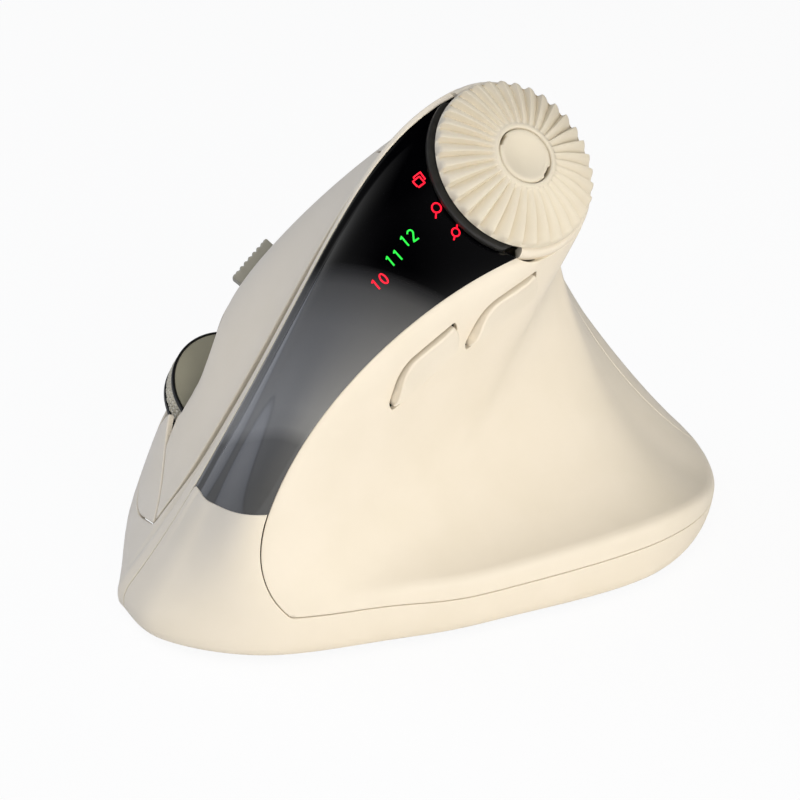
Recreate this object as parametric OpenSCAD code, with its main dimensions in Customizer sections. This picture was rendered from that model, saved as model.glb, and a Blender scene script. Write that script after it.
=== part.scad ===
// Upright ergonomic pointing mouse for the right hand, with a tilted control dial,
// a black display window, a scroll wheel and two thumb buttons.
// Units are millimetres. +Y is the nose, -X the thumb side, +Z up, z = 0 the desk.

/* [Body] */
// Length of the shell, nose to heel
body_l = 117; // [113:1:122]
// Width of the shell, thumb lip to palm side
body_w = 87; // [84:1:90]
// Wall thickness of the moulded shells
shell_t = 2; // [1.6:0.1:2.2]
// Joint line between two fixed shells
seam_gap = 0.3; // [0.2:0.05:0.4]
// Joint line round a moving button
move_gap = 0.4; // [0.35:0.05:0.6]
// Height of the shell's lower edge above the desk
edge_z = 1; // [0.8:0.1:1.4]
// How far the shell's lower edge is tucked in
tuck = 2; // [1:0.25:3]
// Height of the upright lip of the thumb shell's rim
lip_z = 12; // [11.2:0.2:12.8]
// Width of the raised band along the ridge
band_w = 2.6; // [2:0.1:3.2]

/* [Dial] */
// Radius of the dial knob
dial_r = 14; // [13.4:0.1:14.4]
// Height of the dial's centre
dial_z = 71.7; // [69:0.5:74]
// Upward tilt of the dial's axis from level
dial_tilt = 40; // [37:1:43]
// Radius of the push cap in the knob
cap_r = 5; // [4.6:0.1:5.2]
// Rise of the knob's dome
dome_h = 3.8; // [3.4:0.1:4.4]
// Number of flutes round the knob
flutes = 34; // [24:1:36]
// Travel of the push cap
cap_travel = 0.5; // [0.3:0.1:0.5]

/* [Wheel] */
// Outer radius of the scroll wheel's tyre
wheel_r = 11; // [10.4:0.1:11.4]
// Width of the tyre
wheel_w = 6.4; // [5.6:0.2:6.8]
// How far the tyre stands out of the finger face
wheel_out = 2.5; // [2:0.1:3]
// Radius of the wheel's axle
axle_r = 1.5; // [1.2:0.1:1.8]

/* [Buttons] */
// Length of each thumb button
thumb_l = 13.4; // [12:0.2:13.6]
// Width of each thumb button
thumb_w = 5.2; // [4.4:0.2:5.6]
// How far a thumb button stands out of its slot
thumb_out = 0.9; // [0.6:0.1:1.2]
// Length of the resolution button
res_l = 9; // [7:0.5:10]
// Width of the resolution button
res_w = 5.4; // [4.6:0.2:5.8]

/* [Base] */
// Thickness of the base plate
base_t = 1.8; // [1.5:0.1:2.2]
// Thickness of the glide feet
foot_t = 1.2; // [1:0.1:1.4]
// Radius of the base screws' heads
screw_r = 2; // [1.6:0.1:2.4]

/* [Hidden] */
$fn = 48;
base_top = foot_t + base_t;

// Places on the plan, which follow the shell's width and length
function across(x) = x * body_w / 87;
function along(y) = y * body_l / 117;

// Dial frame: tilted axis, front and up-slope directions
dial_c = [across(-19.5), along(-6.4), dial_z];
dial_k = [-cos(dial_tilt), 0, sin(dial_tilt)];
dial_f = [0, 1, 0];
dial_u = [sin(dial_tilt), 0, cos(dial_tilt)];
rim_r = dial_r + 1;
rim_drop = 1.5;

// Stations round the body, from the ridge by the thumb side and heel back to the ridge.
// foot x, foot y, foot z, heading in, rise, reach, place on the dial rim, swirl, lift, reach
stations = [
  [  2.2,  58.0,         5, -106, 49, 55.9,   80,  87, 12, 23.4],
  [-10.7,  57.3,         6,  -90.7, 57.8, 35.7,  6, 16.4, 17, 15.2],
  [-24.3,  46.1,         8,  -87, 97, 27.4,  -70, -63,  3, 26.9],
  [-32.9,  27.1, lip_z-0.2,  -30, 30, 16.0, -107, -51, 50, 14.9],
  [-38.6,   9.3,     lip_z,   -9, 10, 20.2, -134,   0, 77, 14.9],
  [-43.3, -23.6,   lip_z+1,   10,  8, 23.9, -172,   0, 95, 17.7],
  [-31.3, -46.7, lip_z-3.8,   53, 16, 22.9,  165,   0, 99, 17.0],
  [ -5.9, -58.3,         6,   86, 51, 33.5,  140,   0, 98, 24.1],
  [ 20.7, -46.3,         5,  134, 77, 33.7,  124,   0, 80, 17.4],
  [ 43.4,   7.9,         5,  181, 89, 28.9,  110,  -5, 63, 26.0],
  [ 29.6,  39.0,         5,  206, 74, 45.9,   96,  54, 78, 25.7],
  [  2.2,  58.0,         5, -106, 49, 55.9,   80,  87, 12, 23.4]
];
last = len(stations) - 1;
u_thumb = 2;
u_rear = 6.5;
v_seam = -0.24;

function unit(p) = p / norm(p);
function mix(a, b, t) = a + (b - a) * t;
function round_dir(q) = cos(q) * dial_f + sin(q) * dial_u;
function along_dir(q) = -sin(q) * dial_f + cos(q) * dial_u;

// One rail: foot point, lower handle, upper handle, point on the dial rim
function rail(s) =
  let (foot = [across(s[0]), along(s[1]), s[2]])
  let (rise = [cos(s[3]) * cos(s[4]), sin(s[3]) * cos(s[4]), sin(s[4])])
  let (top = dial_c - rim_drop * dial_k + rim_r * round_dir(s[6]))
  let (in = -round_dir(s[6]) * cos(s[7]) + along_dir(s[6]) * sin(s[7]))
  let (into = in * cos(s[8]) + dial_k * sin(s[8]))
  [foot, foot + s[5] * rise, top - s[9] * into, top];
rails = [for (s = stations) rail(s)];

function spline(p0, p1, p2, p3, f) = 0.5 * (2 * p1 + (p2 - p0) * f
  + (2 * p0 - 5 * p1 + 4 * p2 - p3) * f * f + (3 * p1 - p0 - 3 * p2 + p3) * f * f * f);
function handle(u, k) =
  let (i = min(floor(u), last - 1))
  let (a = i > 0 ? rails[i - 1][k] : 2 * rails[0][k] - rails[1][k])
  let (d = i + 2 <= last ? rails[i + 2][k] : 2 * rails[last][k] - rails[last - 1][k])
  spline(a, rails[i][k], rails[i + 1][k], d, u - i);
function lap(u) = u < 0 ? u + last : u > last ? u - last : u;

// The outer skin: v from 0 to 1 climbs from the foot line to the dial, v below 0 is the skirt
function climb(u, v) = let (w = 1 - v)
  w * w * w * handle(u, 0) + 3 * w * w * v * handle(u, 1)
  + 3 * w * v * v * handle(u, 2) + v * v * v * handle(u, 3);
function skirt(u, w) =
  let (p = handle(u, 0))
  let (k = 1 - tuck / norm([p[0], p[1]]))
  let (m = [p[0], p[1], mix(edge_z, p[2], 0.2)])
  (1 - w) * (1 - w) * p + 2 * w * (1 - w) * m + w * w * [p[0] * k, p[1] * k, edge_z];
function skin(u, v) = v < 0 ? skirt(lap(u), -v) : climb(lap(u), v);
function square_on(u, v) =
  let (c = skin(u, v))
  let (a = unit(skin(u + 0.02, v) - c) + unit(c - skin(u - 0.02, v)))
  let (b = unit(skin(u, v + 0.01) - c) + unit(c - skin(u, v - 0.01)))
  unit(cross(a, b));
// Near the dial the outward direction turns towards the dial's own rim
function rim_lean(u) = unit(unit(skin(u, 1) - dial_c + rim_drop * dial_k) + dial_k);
function lean(u, v) = v <= 0.7 ? square_on(u, v)
  : unit(mix(square_on(u, min(v, 0.9)), rim_lean(u), (v - 0.7) / 0.3));
function in_u(u, v, d) = 0.1 * d / norm(skin(u + 0.1, v) - skin(u, v));
function in_v(u, v, d) = 0.02 * d / norm(skin(u, v + 0.02) - skin(u, v));
function band(v) = 0.3 * band_w / norm(skin(0.3, v) - skin(0, v));
function win_low(u) = 0.147 + 0.056 * u;
corner_u = 1.9;
function corner(u) = u <= u_thumb ? win_low(u_thumb) : u >= u_thumb + corner_u ? v_seam :
  v_seam + (win_low(u_thumb) - v_seam) * (1 - sqrt(1 - pow(1 - (u - u_thumb) / corner_u, 2)));

// A skin of even thickness over a grid of places on the outer skin
module sheet(grid, out, into) {
  m = len(grid);
  n = len(grid[0]);
  top = [for (row = grid) for (q = row) skin(q[0], q[1]) + out * lean(q[0], q[1])];
  low = [for (row = grid) for (q = row) skin(q[0], q[1]) - into * lean(q[0], q[1])];
  function a(i, j) = i * n + j;
  function b(i, j) = m * n + i * n + j;
  polyhedron(
    points = concat(top, low),
    faces = concat(
      [for (i = [0:m - 2]) for (j = [0:n - 2]) [a(i, j), a(i, j + 1), a(i + 1, j + 1)]],
      [for (i = [0:m - 2]) for (j = [0:n - 2]) [a(i, j), a(i + 1, j + 1), a(i + 1, j)]],
      [for (i = [0:m - 2]) for (j = [0:n - 2]) [b(i, j), b(i + 1, j + 1), b(i, j + 1)]],
      [for (i = [0:m - 2]) for (j = [0:n - 2]) [b(i, j), b(i + 1, j), b(i + 1, j + 1)]],
      [for (i = [0:m - 2]) [a(i, 0), a(i + 1, 0), b(i + 1, 0)]],
      [for (i = [0:m - 2]) [a(i, 0), b(i + 1, 0), b(i, 0)]],
      [for (i = [0:m - 2]) [a(i + 1, n - 1), a(i, n - 1), b(i, n - 1)]],
      [for (i = [0:m - 2]) [a(i + 1, n - 1), b(i, n - 1), b(i + 1, n - 1)]],
      [for (j = [0:n - 2]) [a(0, j + 1), a(0, j), b(0, j)]],
      [for (j = [0:n - 2]) [a(0, j + 1), b(0, j), b(0, j + 1)]],
      [for (j = [0:n - 2]) [a(m - 1, j), a(m - 1, j + 1), b(m - 1, j + 1)]],
      [for (j = [0:n - 2]) [a(m - 1, j), b(m - 1, j + 1), b(m - 1, j)]]
    ),
    convexity = 8
  );
}

// Frames
module at_dial() {
  translate(dial_c)
    rotate([0, dial_tilt - 90, 0])
      children();
}
function frame(x, y, z, p) = [
  [x[0], y[0], z[0], p[0]],
  [x[1], y[1], z[1], p[1]],
  [x[2], y[2], z[2], p[2]],
  [0, 0, 0, 1]
];

// Finger frame: x the way the fingers point, y up to the ridge, z out of the face
finger_roll = 50;
finger_yaw = 36;
finger_o = skin(9.85, 0.2);
finger_y = [-cos(finger_roll), 0, sin(finger_roll)];
finger_w = [sin(finger_roll), 0, cos(finger_roll)];
finger_z = cos(finger_yaw) * finger_w + sin(finger_yaw) * [0, 1, 0];
finger_x = cross(finger_y, finger_z);
module at_finger() {
  multmatrix(frame(finger_x, finger_y, finger_z, finger_o))
    children();
}
function finger_at(x, y, z) = finger_o + x * finger_x + y * finger_y + z * finger_z;

// Thumb frames: x back along the buttons, y up, z out
front_p = skin(2.42, 0.64);
back_p = skin(2.66, 0.8);
thumb_x = unit(back_p - front_p);
front_n = lean(2.42, 0.64);
back_n = lean(2.66, 0.8);
module at_thumb(p, n) {
  y = unit(cross(n, thumb_x));
  multmatrix(frame(cross(y, n), y, n, p))
    children();
}

// Outlines in the finger frame
wheel_c = wheel_out - wheel_r;
slot_l = wheel_r + 0.4;
slot_w = wheel_w / 2 + 0.7;
wheel_x = 0;
res_x = -17;
res_y = 14;
res_turn = -30;
yoke_low = wheel_c - wheel_r - 0.5;
plate_t = 1.5;
plate_top = yoke_low - 3.7;
plate_z = plate_top - plate_t;
tip = [32, 4];
split = [[-36, 21], [-28, 19], [-20.9, 16.2], [-13.1, 11.8], [-12.2, 6], [-9, 2.5]];
left_out = concat([tip, [26, 12.1], [18, 20.4], [10, 28.8], [0.9, 38.1], [-7.2, 46], [-13, 51.1],
  [-17, 53.6], [-22, 52], [-29, 43.5], [-34.5, 31]], split);
right_out = concat([tip, [27.5, -5], [21, -8.5], [14, -11.5], [4, -13.5], [-8, -15], [-18, -13.5],
  [-26, -6.5], [-31.5, 4]], split);

module prism() {
  translate([0, 0, -21])
    linear_extrude(36)
      children();
}
module button_area() {
  offset(delta = move_gap / 2) {
    polygon(left_out);
    polygon(right_out);
  }
}
module res_area(d) {
  translate([res_x, res_y])
    rotate([0, 0, res_turn])
      square([res_l + 2 * d, res_w + 2 * d], center = true);
}
module slots() {
  translate([wheel_x, 0])
    square([2 * slot_l, 2 * slot_w], center = true);
  res_area(move_gap);
}
module left_area() {
  difference() {
    offset(delta = -move_gap / 2)
      polygon(left_out);
    slots();
  }
}
module right_area() {
  difference() {
    offset(delta = -move_gap / 2)
      polygon(right_out);
    slots();
  }
}

// Grids
rows_palm = [-1, -0.6, -0.3, 0, 0.06, 0.13, 0.2, 0.28, 0.36, 0.44, 0.52, 0.6, 0.68, 0.76, 0.84, 0.92, 1];
cols_palm = [6.7, 7, 7.4, 7.8, 8.2, 8.6, 9, 9.3, 9.55, 9.75, 9.95, 10.1, 10.25, 10.4, 10.6, 10.8, 11];
palm_grid = concat(
  [[for (v = rows_palm) [u_rear + in_u(u_rear, v, seam_gap / 2), v]]],
  [for (u = cols_palm) [for (v = rows_palm) [u, v]]],
  [[for (v = rows_palm) [last + band(v) - in_u(0, v, seam_gap), v]]]
);
cols_thumb = [0.02, 0.06, 0.14, 0.26, 0.42, 0.62, 0.86, 1.1, 1.32, 1.7, 2.1, 2.5, 3, 3.5, 4, 4.25];
function thumb_v(u, j, m) =
  let (lo = corner(u) + in_v(u, corner(u), seam_gap / 2))
  let (knee = max(0, lo + 0.04))
  j == 0 ? lo : mix(knee, 1, (j - 1) / (m - 1));
thumb_grid = concat(
  [for (c = cols_thumb) [for (j = [0:12]) [u_thumb + c, thumb_v(u_thumb + c, j, 12)]]],
  [[for (j = [0:12]) let (v = thumb_v(u_rear, j, 12)) [u_rear - in_u(u_rear, v, seam_gap / 2), v]]]
);
cols_low = concat([0.6, 1, 1.4, 1.7, 1.9], [for (c = cols_thumb) u_thumb + c]);
function low_top(u) = u <= u_thumb
  ? win_low(u) - in_v(u, win_low(u), seam_gap) : corner(u) - in_v(u, corner(u), seam_gap / 2);
function low_v(u, j) = let (t = low_top(u))
  t <= 0 ? mix(-1, t, j / 7) : j <= 4 ? mix(-1, 0, j / 4) : mix(0, t, (j - 4) / 3);
low_grid = concat(
  [[for (j = [0:7]) let (v = low_v(0.2, j)) [band(v), v]]],
  [for (u = cols_low) [for (j = [0:7]) [u, low_v(u, j)]]],
  [[for (j = [0:7]) let (v = low_v(u_rear, j)) [u_rear - in_u(u_rear, v, seam_gap / 2), v]]]
);
function win_grid(edge, top) = [for (i = [0:10]) [for (j = [0:12])
  let (t = i / 10)
  let (v = mix(win_low(mix(0.2, u_thumb, t)) + 0.005, top, j / 12))
  let (a = band(v) + in_u(band(v), v, edge))
  let (b = u_thumb - in_u(u_thumb, v, edge))
  [mix(a, b, t), v]]];

// Fixed shells
module palm_shell() {
  color("#e6dcc8")
    difference() {
      sheet(palm_grid, 0, shell_t);
      at_finger()
        prism()
          button_area();
    }
}
module thumb_slot(l, w) {
  square([l - w, w], center = true);
  translate([(l - w) / 2, 0])
    circle(w / 2);
  translate([(w - l) / 2, 0])
    circle(w / 2);
}
module thumb_cut(p, n) {
  at_thumb(p, n)
    translate([0, 0, -6])
      linear_extrude(10)
        thumb_slot(thumb_l + 2 * move_gap, thumb_w + 2 * move_gap);
}
module thumb_shell() {
  color("#eadfc9")
    difference() {
      sheet(thumb_grid, 0, shell_t);
      thumb_cut(front_p, front_n);
      thumb_cut(back_p, back_n);
    }
}
module lower_shell() {
  color("#e9dec8")
    sheet(low_grid, 0, shell_t);
}
module display_lens() {
  color("#101012")
    sheet(win_grid(seam_gap, 0.99), -0.4, 1.8);
}
module display_diffuser() {
  color("#2a2a2c")
    sheet(win_grid(1.6, 0.92), -2.1, 2.9);
}

// Dial
module dial_bezel() {
  color("#151517")
    at_dial()
      rotate_extrude()
        polygon([[10.2, -5.4], [11.2, -5.4], [11.2, -1.4], [rim_r - 0.3, -1.4],
          [rim_r - 0.3, -0.3], [10.2, -0.3]]);
}
module dial_seat() {
  color("#2b2b2d")
    at_dial()
      difference() {
        translate([0, 0, -7])
          cylinder(r = 11.2, h = 1.6);
        translate([0, 0, -8])
          cylinder(r = 4.6, h = 4);
      }
}
module dial_knob() {
  color("#ece2ce")
    at_dial()
      difference() {
        rotate_extrude()
          polygon([[2.6, -6.6], [4.2, -6.6], [4.2, 0.1], [dial_r, 0.1], [dial_r, 1.1],
            [dial_r - 0.6, 1.9], [dial_r - 3.5, dome_h - 0.7], [cap_r + 1.8, dome_h],
            [cap_r + 0.35, dome_h + 0.2], [cap_r + 0.35, 1.2], [2.6, 1.2]]);
        for (i = [0:flutes - 1])
          rotate([0, 0, i * 360 / flutes])
            translate([cap_r + 3, 0, dome_h + 0.15])
              rotate([0, 107, 0])
                cylinder(r = 0.7, h = dial_r, $fn = 16);
      }
}
module dial_cap() {
  color("#efe6d3")
    at_dial() {
      translate([0, 0, 1.7 + cap_travel - 0.2])
        cylinder(r = cap_r, h = dome_h + 0.7 - 1.5 - cap_travel);
      translate([0, 0, -1.2])
        cylinder(r = 1.5, h = 4);
    }
}
module dial_shaft() {
  color("#b9bcc0")
    at_dial()
      translate([0, 0, -7])
        cylinder(r = 2.2, h = 4.7 - (cap_travel - 0.5));
}
module dial_encoder() {
  color("#3c3f42")
    at_dial()
      translate([0, 0, -14])
        cylinder(r = 6.5, h = 7);
}
spine_x = dial_c[0] + 13;
spine_d = 8;
foot_half = 6;
seat_lo = dial_c - 14 * dial_k - 6 * dial_u;
seat_hi = dial_c - 14 * dial_k + 6 * dial_u;
module spine() {
  color("#4a4a4c")
    translate([0, dial_c[1] + spine_d / 2, 0])
      rotate([90, 0, 0])
        linear_extrude(spine_d)
          polygon([[spine_x - foot_half, base_top], [spine_x + foot_half, base_top],
            [spine_x + foot_half, 45], [seat_hi[0], seat_hi[2]], [seat_lo[0], seat_lo[2]],
            [spine_x - foot_half, 45]]);
}

// Finger buttons
left_at = [-2, 13.4];
right_at = [-9, -9.2];
module stem(x, y, top) {
  translate([x, y, plate_top + 7.9])
    cylinder(r = 1.6, h = top - plate_top - 7.9);
}
module panel() {
  intersection() {
    sheet(palm_grid, 0, shell_t);
    at_finger()
      prism()
        children();
  }
}
module left_button() {
  color("#dcd5c6")
    union() {
      panel()
        left_area();
      at_finger()
        stem(left_at[0], left_at[1], -1.8);
    }
}
module right_button() {
  color("#d9d2c3")
    union() {
      panel()
        right_area();
      at_finger()
        stem(right_at[0], right_at[1], -3.2);
    }
}
res_out = 2;
module res_button() {
  color("#cfc9ba")
    union() {
      intersection() {
        sheet(palm_grid, res_out, shell_t);
        at_finger()
          prism()
            res_area(0);
      }
      at_finger()
        translate([res_x, res_y, -2.5])
          cube([3, 3, 5], center = true);
    }
}

// Scroll wheel
module wheel_tyre() {
  color("#cfc9b8")
    at_finger()
      translate([wheel_x, wheel_w / 2, wheel_c])
        rotate([90, 0, 0])
          difference() {
            cylinder(r = wheel_r, h = wheel_w, $fn = 96);
            translate([0, 0, -1])
              cylinder(r = wheel_r - 2.2, h = wheel_w + 2, $fn = 96);
          }
}
module wheel_hub() {
  color("#6d6a5e")
    at_finger()
      translate([wheel_x, wheel_w / 2 - 0.2, wheel_c])
        rotate([90, 0, 0])
          difference() {
            cylinder(r = wheel_r - 2.2, h = wheel_w - 0.4, $fn = 96);
            translate([0, 0, -1])
              cylinder(r = axle_r, h = wheel_w + 2);
          }
}
module wheel_axle() {
  color("#b4b7ba")
    at_finger()
      translate([wheel_x, wheel_w / 2 + 2.6, wheel_c])
        rotate([90, 0, 0])
          cylinder(r = axle_r, h = wheel_w + 5.2);
}
yoke_in = wheel_w / 2 + 0.6;
yoke_t = 1.6;
yoke_half = 2;
yoke_floor = 1.5;
yoke_h = wheel_c - yoke_low + yoke_floor + axle_r + 0.4;
module yoke_arm(y) {
  translate([wheel_x - yoke_half, y, yoke_low - yoke_floor])
    cube([2 * yoke_half, yoke_t, yoke_h]);
}
module wheel_yoke() {
  color("#3a3a3c")
    at_finger()
      difference() {
        union() {
          yoke_arm(yoke_in);
          yoke_arm(-yoke_in - yoke_t);
          translate([wheel_x - yoke_half, -yoke_in - yoke_t, yoke_low - yoke_floor])
            cube([2 * yoke_half, 2 * (yoke_in + yoke_t), yoke_floor]);
        }
        translate([wheel_x, 20, wheel_c])
          rotate([90, 0, 0])
            cylinder(r = axle_r + 0.05, h = 40);
      }
}
module wheel_switch() {
  color("#202022")
    at_finger()
      translate([wheel_x - 3, -3, plate_top])
        cube([6, 6, yoke_low - yoke_floor - plate_top - 0.8]);
}
module wheel_encoder() {
  color("#35506b")
    at_finger()
      translate([wheel_x - 7, yoke_in + 2.4, plate_top])
        cube([11, 3, 12]);
}
module micro_switch(x, y) {
  translate([x - 6, y - 3, plate_top])
    cube([12, 6, 5.6]);
  translate([x, y, plate_top])
    cylinder(r = 1.2, h = 6.8);
}
module left_switch() {
  color("#242426")
    at_finger()
      micro_switch(left_at[0], left_at[1]);
}
module right_switch() {
  color("#242426")
    at_finger()
      micro_switch(right_at[0], right_at[1]);
}
module res_switch() {
  color("#242426")
    at_finger()
      translate([res_x - 3, res_y - 3, plate_top])
        cube([6, 6, -5.9 - plate_top]);
}
post_a = finger_at(-10, 14, plate_z + 0.5);
post_b = finger_at(-18, -6, plate_z + 0.5);
module finger_bracket() {
  color("#2f6b46")
    union() {
      at_finger()
        translate([-24, -12.5, plate_z])
          cube([28.5, 31.5, plate_t]);
      translate([post_a[0], post_a[1], base_top])
        cylinder(r = 2.2, h = post_a[2] - base_top);
      translate([post_b[0], post_b[1], base_top])
        cylinder(r = 2.2, h = post_b[2] - base_top);
    }
}

// Thumb buttons
module thumb_button(p, n) {
  at_thumb(p, n) {
    translate([0, 0, -2.6])
      linear_extrude(2.6 + thumb_out)
        thumb_slot(thumb_l, thumb_w);
    translate([0, 0, -3.8])
      cylinder(r = 1.2, h = 2);
  }
}
module forward_button() {
  color("#e8ddc8")
    thumb_button(front_p, front_n);
}
module back_button() {
  color("#e8ddc8")
    thumb_button(back_p, back_n);
}
module thumb_switch(p, n) {
  at_thumb(p, n)
    translate([-3, -2, -7.5])
      cube([6, 4, 2.8]);
}
module forward_switch() {
  color("#242426")
    thumb_switch(front_p, front_n);
}
module back_switch() {
  color("#242426")
    thumb_switch(back_p, back_n);
}
module thumb_rest(p, n) {
  c = p - 11 * n;
  at_thumb(p, n)
    translate([-6, -3.5, -13])
      cube([12, 7, 5.5]);
  translate([c[0], c[1], base_top])
    cylinder(r = 1.8, h = c[2] - base_top);
}
module thumb_bracket() {
  color("#2f6b46")
    union() {
      thumb_rest(front_p, front_n);
      thumb_rest(back_p, back_n);
    }
}

// Base
base_in = shell_t + tuck + 0.5;
function base_point(u) =
  let (p = handle(u, 0))
  let (k = 1 - base_in / norm([p[0], p[1]]))
  [p[0] * k, p[1] * k];
board_w = 26;
board_l = 24;
board_t = 1.6;
board_gap = 0.5;
chip_a = 11;
chip_h = 3;
lens_a = 8;
power_w = 4;
power_l = 2.8;
power_slide = 2.2;
power_gap = 0.5;
foot_w = 6;
sensor_y = dial_c[1] - spine_d / 2 - board_gap - board_l / 2;
power_x = board_w / 2 + 3;
power_y = sensor_y + 2;
screw_at = [for (s = [[-22, 22], [27, 14], [-27, -28], [24, -26]]) [across(s[0]), along(s[1])]];
module base_plate() {
  color("#3b3a38")
    translate([0, 0, foot_t])
      difference() {
        linear_extrude(base_t)
          polygon([for (i = [0:43]) base_point(i / 4)]);
        translate([-lens_a / 2 - 0.5, sensor_y - lens_a / 2 - 0.5, -1])
          cube([lens_a + 1, lens_a + 1, base_t + 2]);
        translate([power_x - power_w / 2 - power_gap, power_y - power_l / 2 - power_gap, -1])
          cube([power_w + power_slide + 2 * power_gap, power_l + 2 * power_gap, base_t + 2]);
        for (s = screw_at)
          translate([s[0], s[1], -1])
            cylinder(r = 1.2, h = base_t + 2);
        for (s = screw_at)
          translate([s[0], s[1], -1])
            cylinder(r = screw_r + 0.3, h = 1.9);
      }
}
module base_screws() {
  color("#8d8f92")
    for (s = screw_at)
      translate([s[0], s[1], foot_t + 0.2]) {
        cylinder(r = screw_r, h = 0.7);
        cylinder(r = 1.1, h = base_t + 3);
      }
}
module foot(x, y, l, turn) {
  translate([across(x), along(y), 0])
    rotate([0, 0, turn])
      linear_extrude(foot_t)
        thumb_slot(l, foot_w);
}
module foot_front() {
  color("#1c1c1e")
    foot(-2, 46, 18, 0);
}
module foot_rear() {
  color("#1c1c1e")
    foot(-7, -47, 24, 0);
}
module foot_left() {
  color("#1c1c1e")
    foot(-30, -6, 18, 90);
}
module foot_right() {
  color("#1c1c1e")
    foot(30, -4, 18, 90);
}
module sensor_lens() {
  color("#c8d0d4")
    translate([-lens_a / 2, sensor_y - lens_a / 2, foot_t + 0.2])
      cube([lens_a, lens_a, base_t - 0.2]);
}
module sensor_chip() {
  color("#202022")
    translate([-chip_a / 2, sensor_y - chip_a / 2, base_top])
      cube([chip_a, chip_a, chip_h]);
}
module main_board() {
  color("#2f6b46")
    union() {
      translate([-board_w / 2, sensor_y - board_l / 2, base_top + chip_h])
        cube([board_w, board_l, board_t]);
      for (x = [2 - board_w / 2, board_w / 2 - 2])
        for (y = [2 - board_l / 2, board_l / 2 - 2])
          translate([x, sensor_y + y, base_top])
            cylinder(r = 1.4, h = chip_h + 0.5);
    }
}
module battery() {
  color("#9aa0a6")
    translate([2 - board_w / 2, sensor_y + 3 - board_l / 2, base_top + chip_h + board_t])
      cube([board_w - 4, board_l - 6, 6]);
}
module power_slider() {
  color("#d04a3a")
    translate([power_x - power_w / 2, power_y - power_l / 2, 0.5])
      cube([power_w, power_l, base_top - 0.8]);
}
module power_switch() {
  color("#202022")
    translate([power_x - power_w / 2 - 0.5, power_y - 3.5, base_top])
      cube([power_w + 4, 7, 2.6]);
}

palm_shell();
thumb_shell();
lower_shell();
display_lens();
display_diffuser();
dial_bezel();
dial_seat();
dial_knob();
dial_cap();
dial_shaft();
dial_encoder();
spine();
left_button();
right_button();
res_button();
wheel_tyre();
wheel_hub();
wheel_axle();
wheel_yoke();
wheel_switch();
wheel_encoder();
left_switch();
right_switch();
res_switch();
finger_bracket();
forward_button();
back_button();
forward_switch();
back_switch();
thumb_bracket();
base_plate();
base_screws();
foot_front();
foot_rear();
foot_left();
foot_right();
sensor_lens();
sensor_chip();
main_board();
battery();
power_slider();
power_switch();
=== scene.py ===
"""Looks of an upright ergonomic mouse for the right hand, built on its solid frame.

Sizes are in millimetres, in the part's own frame: +Y the nose, -X the thumb side, +Z up.
Meshes are turned to metres as they are made.
"""

import logging
import math
from collections.abc import Callable, Sequence
from dataclasses import dataclass, field
from enum import Enum

import bpy
import numpy as np
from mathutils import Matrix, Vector
from mathutils.geometry import delaunay_2d_cdt
from mathutils.kdtree import KDTree


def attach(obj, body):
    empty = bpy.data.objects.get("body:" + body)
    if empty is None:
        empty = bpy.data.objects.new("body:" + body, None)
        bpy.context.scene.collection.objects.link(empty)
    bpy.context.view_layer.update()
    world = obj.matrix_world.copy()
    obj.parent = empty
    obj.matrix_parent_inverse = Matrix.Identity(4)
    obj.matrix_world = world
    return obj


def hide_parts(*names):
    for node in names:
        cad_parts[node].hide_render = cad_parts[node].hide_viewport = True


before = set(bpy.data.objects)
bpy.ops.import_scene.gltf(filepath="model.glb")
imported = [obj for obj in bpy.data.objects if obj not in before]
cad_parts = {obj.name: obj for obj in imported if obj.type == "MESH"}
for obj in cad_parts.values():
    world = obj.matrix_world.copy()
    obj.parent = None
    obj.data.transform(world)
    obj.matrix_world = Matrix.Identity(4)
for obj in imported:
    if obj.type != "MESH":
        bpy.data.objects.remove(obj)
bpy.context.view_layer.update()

Array = np.ndarray
Corner = tuple[float, float, float]
Height = Callable[[Array], Array]
MM = 0.001
LOG = logging.getLogger("mouse")


def unit(p: Array) -> Array:
    """Vectors of length one, along the last axis."""
    return p / np.linalg.norm(p, axis=-1, keepdims=True)


def ease(low: float, high: float, x: Array) -> Array:
    """A smooth step from 0 at low to 1 at high."""
    t = np.clip((x - low) / (high - low), 0.0, 1.0)
    return t * t * (3 - 2 * t)


def turned(degrees: float) -> tuple[float, float]:
    """Cosine and sine of an angle in degrees."""
    return math.cos(math.radians(degrees)), math.sin(math.radians(degrees))


def lattice(columns: Array, rows: Array) -> Array:
    """Every pair of a column's and a row's value."""
    x, y = np.meshgrid(columns, rows)
    return np.stack([x.ravel(), y.ravel()], -1)


def near_tree(points: Array) -> KDTree:
    """A search tree over flat points."""
    tree = KDTree(len(points))
    for i, (x, y) in enumerate(points):
        tree.insert((x, y, 0.0), i)
    tree.balance()
    return tree


# Shared sizes, as on the solid frame

BAND_W = 2.6  # cream band between the ridge and the display
SEAM = 0.3  # gap between fixed shells
MOVE_GAP = 0.4  # gap round a moving button
EDGE_Z = 1.0  # height of the body's lowest edge
TUCK = 2.0  # how far the skirt draws in at that edge
LIP_Z = 12.0  # height of the thumb saddle's lip
DIAL_R = 14.0
DIAL_C = np.array([-19.5, -6.4, 71.7])
DIAL_TILT = 40.0
RIM_R = DIAL_R + 1.0  # where the body's skin ends round the dial
RIM_DROP = 1.5  # how far that rim lies below the dial's middle
U_THUMB = 2.0  # where the thumb saddle meets the display, in u
U_REAR = 6.5  # the seam at the heel, in u
V_SEAM = -0.24  # the seam below the saddle's lip, in v
CORNER_U = 1.9  # length of the saddle's front corner, in u
GLASS_LIFT = -0.16  # height of the glass against the shells
PROBE = 0.03  # step in u that measures the skin
_C, _S = turned(DIAL_TILT)
DIAL_OUT = np.array([-_C, 0.0, _S])
DIAL_FRONT = np.array([0.0, 1.0, 0.0])
DIAL_UP = np.array([_S, 0.0, _C])


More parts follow.
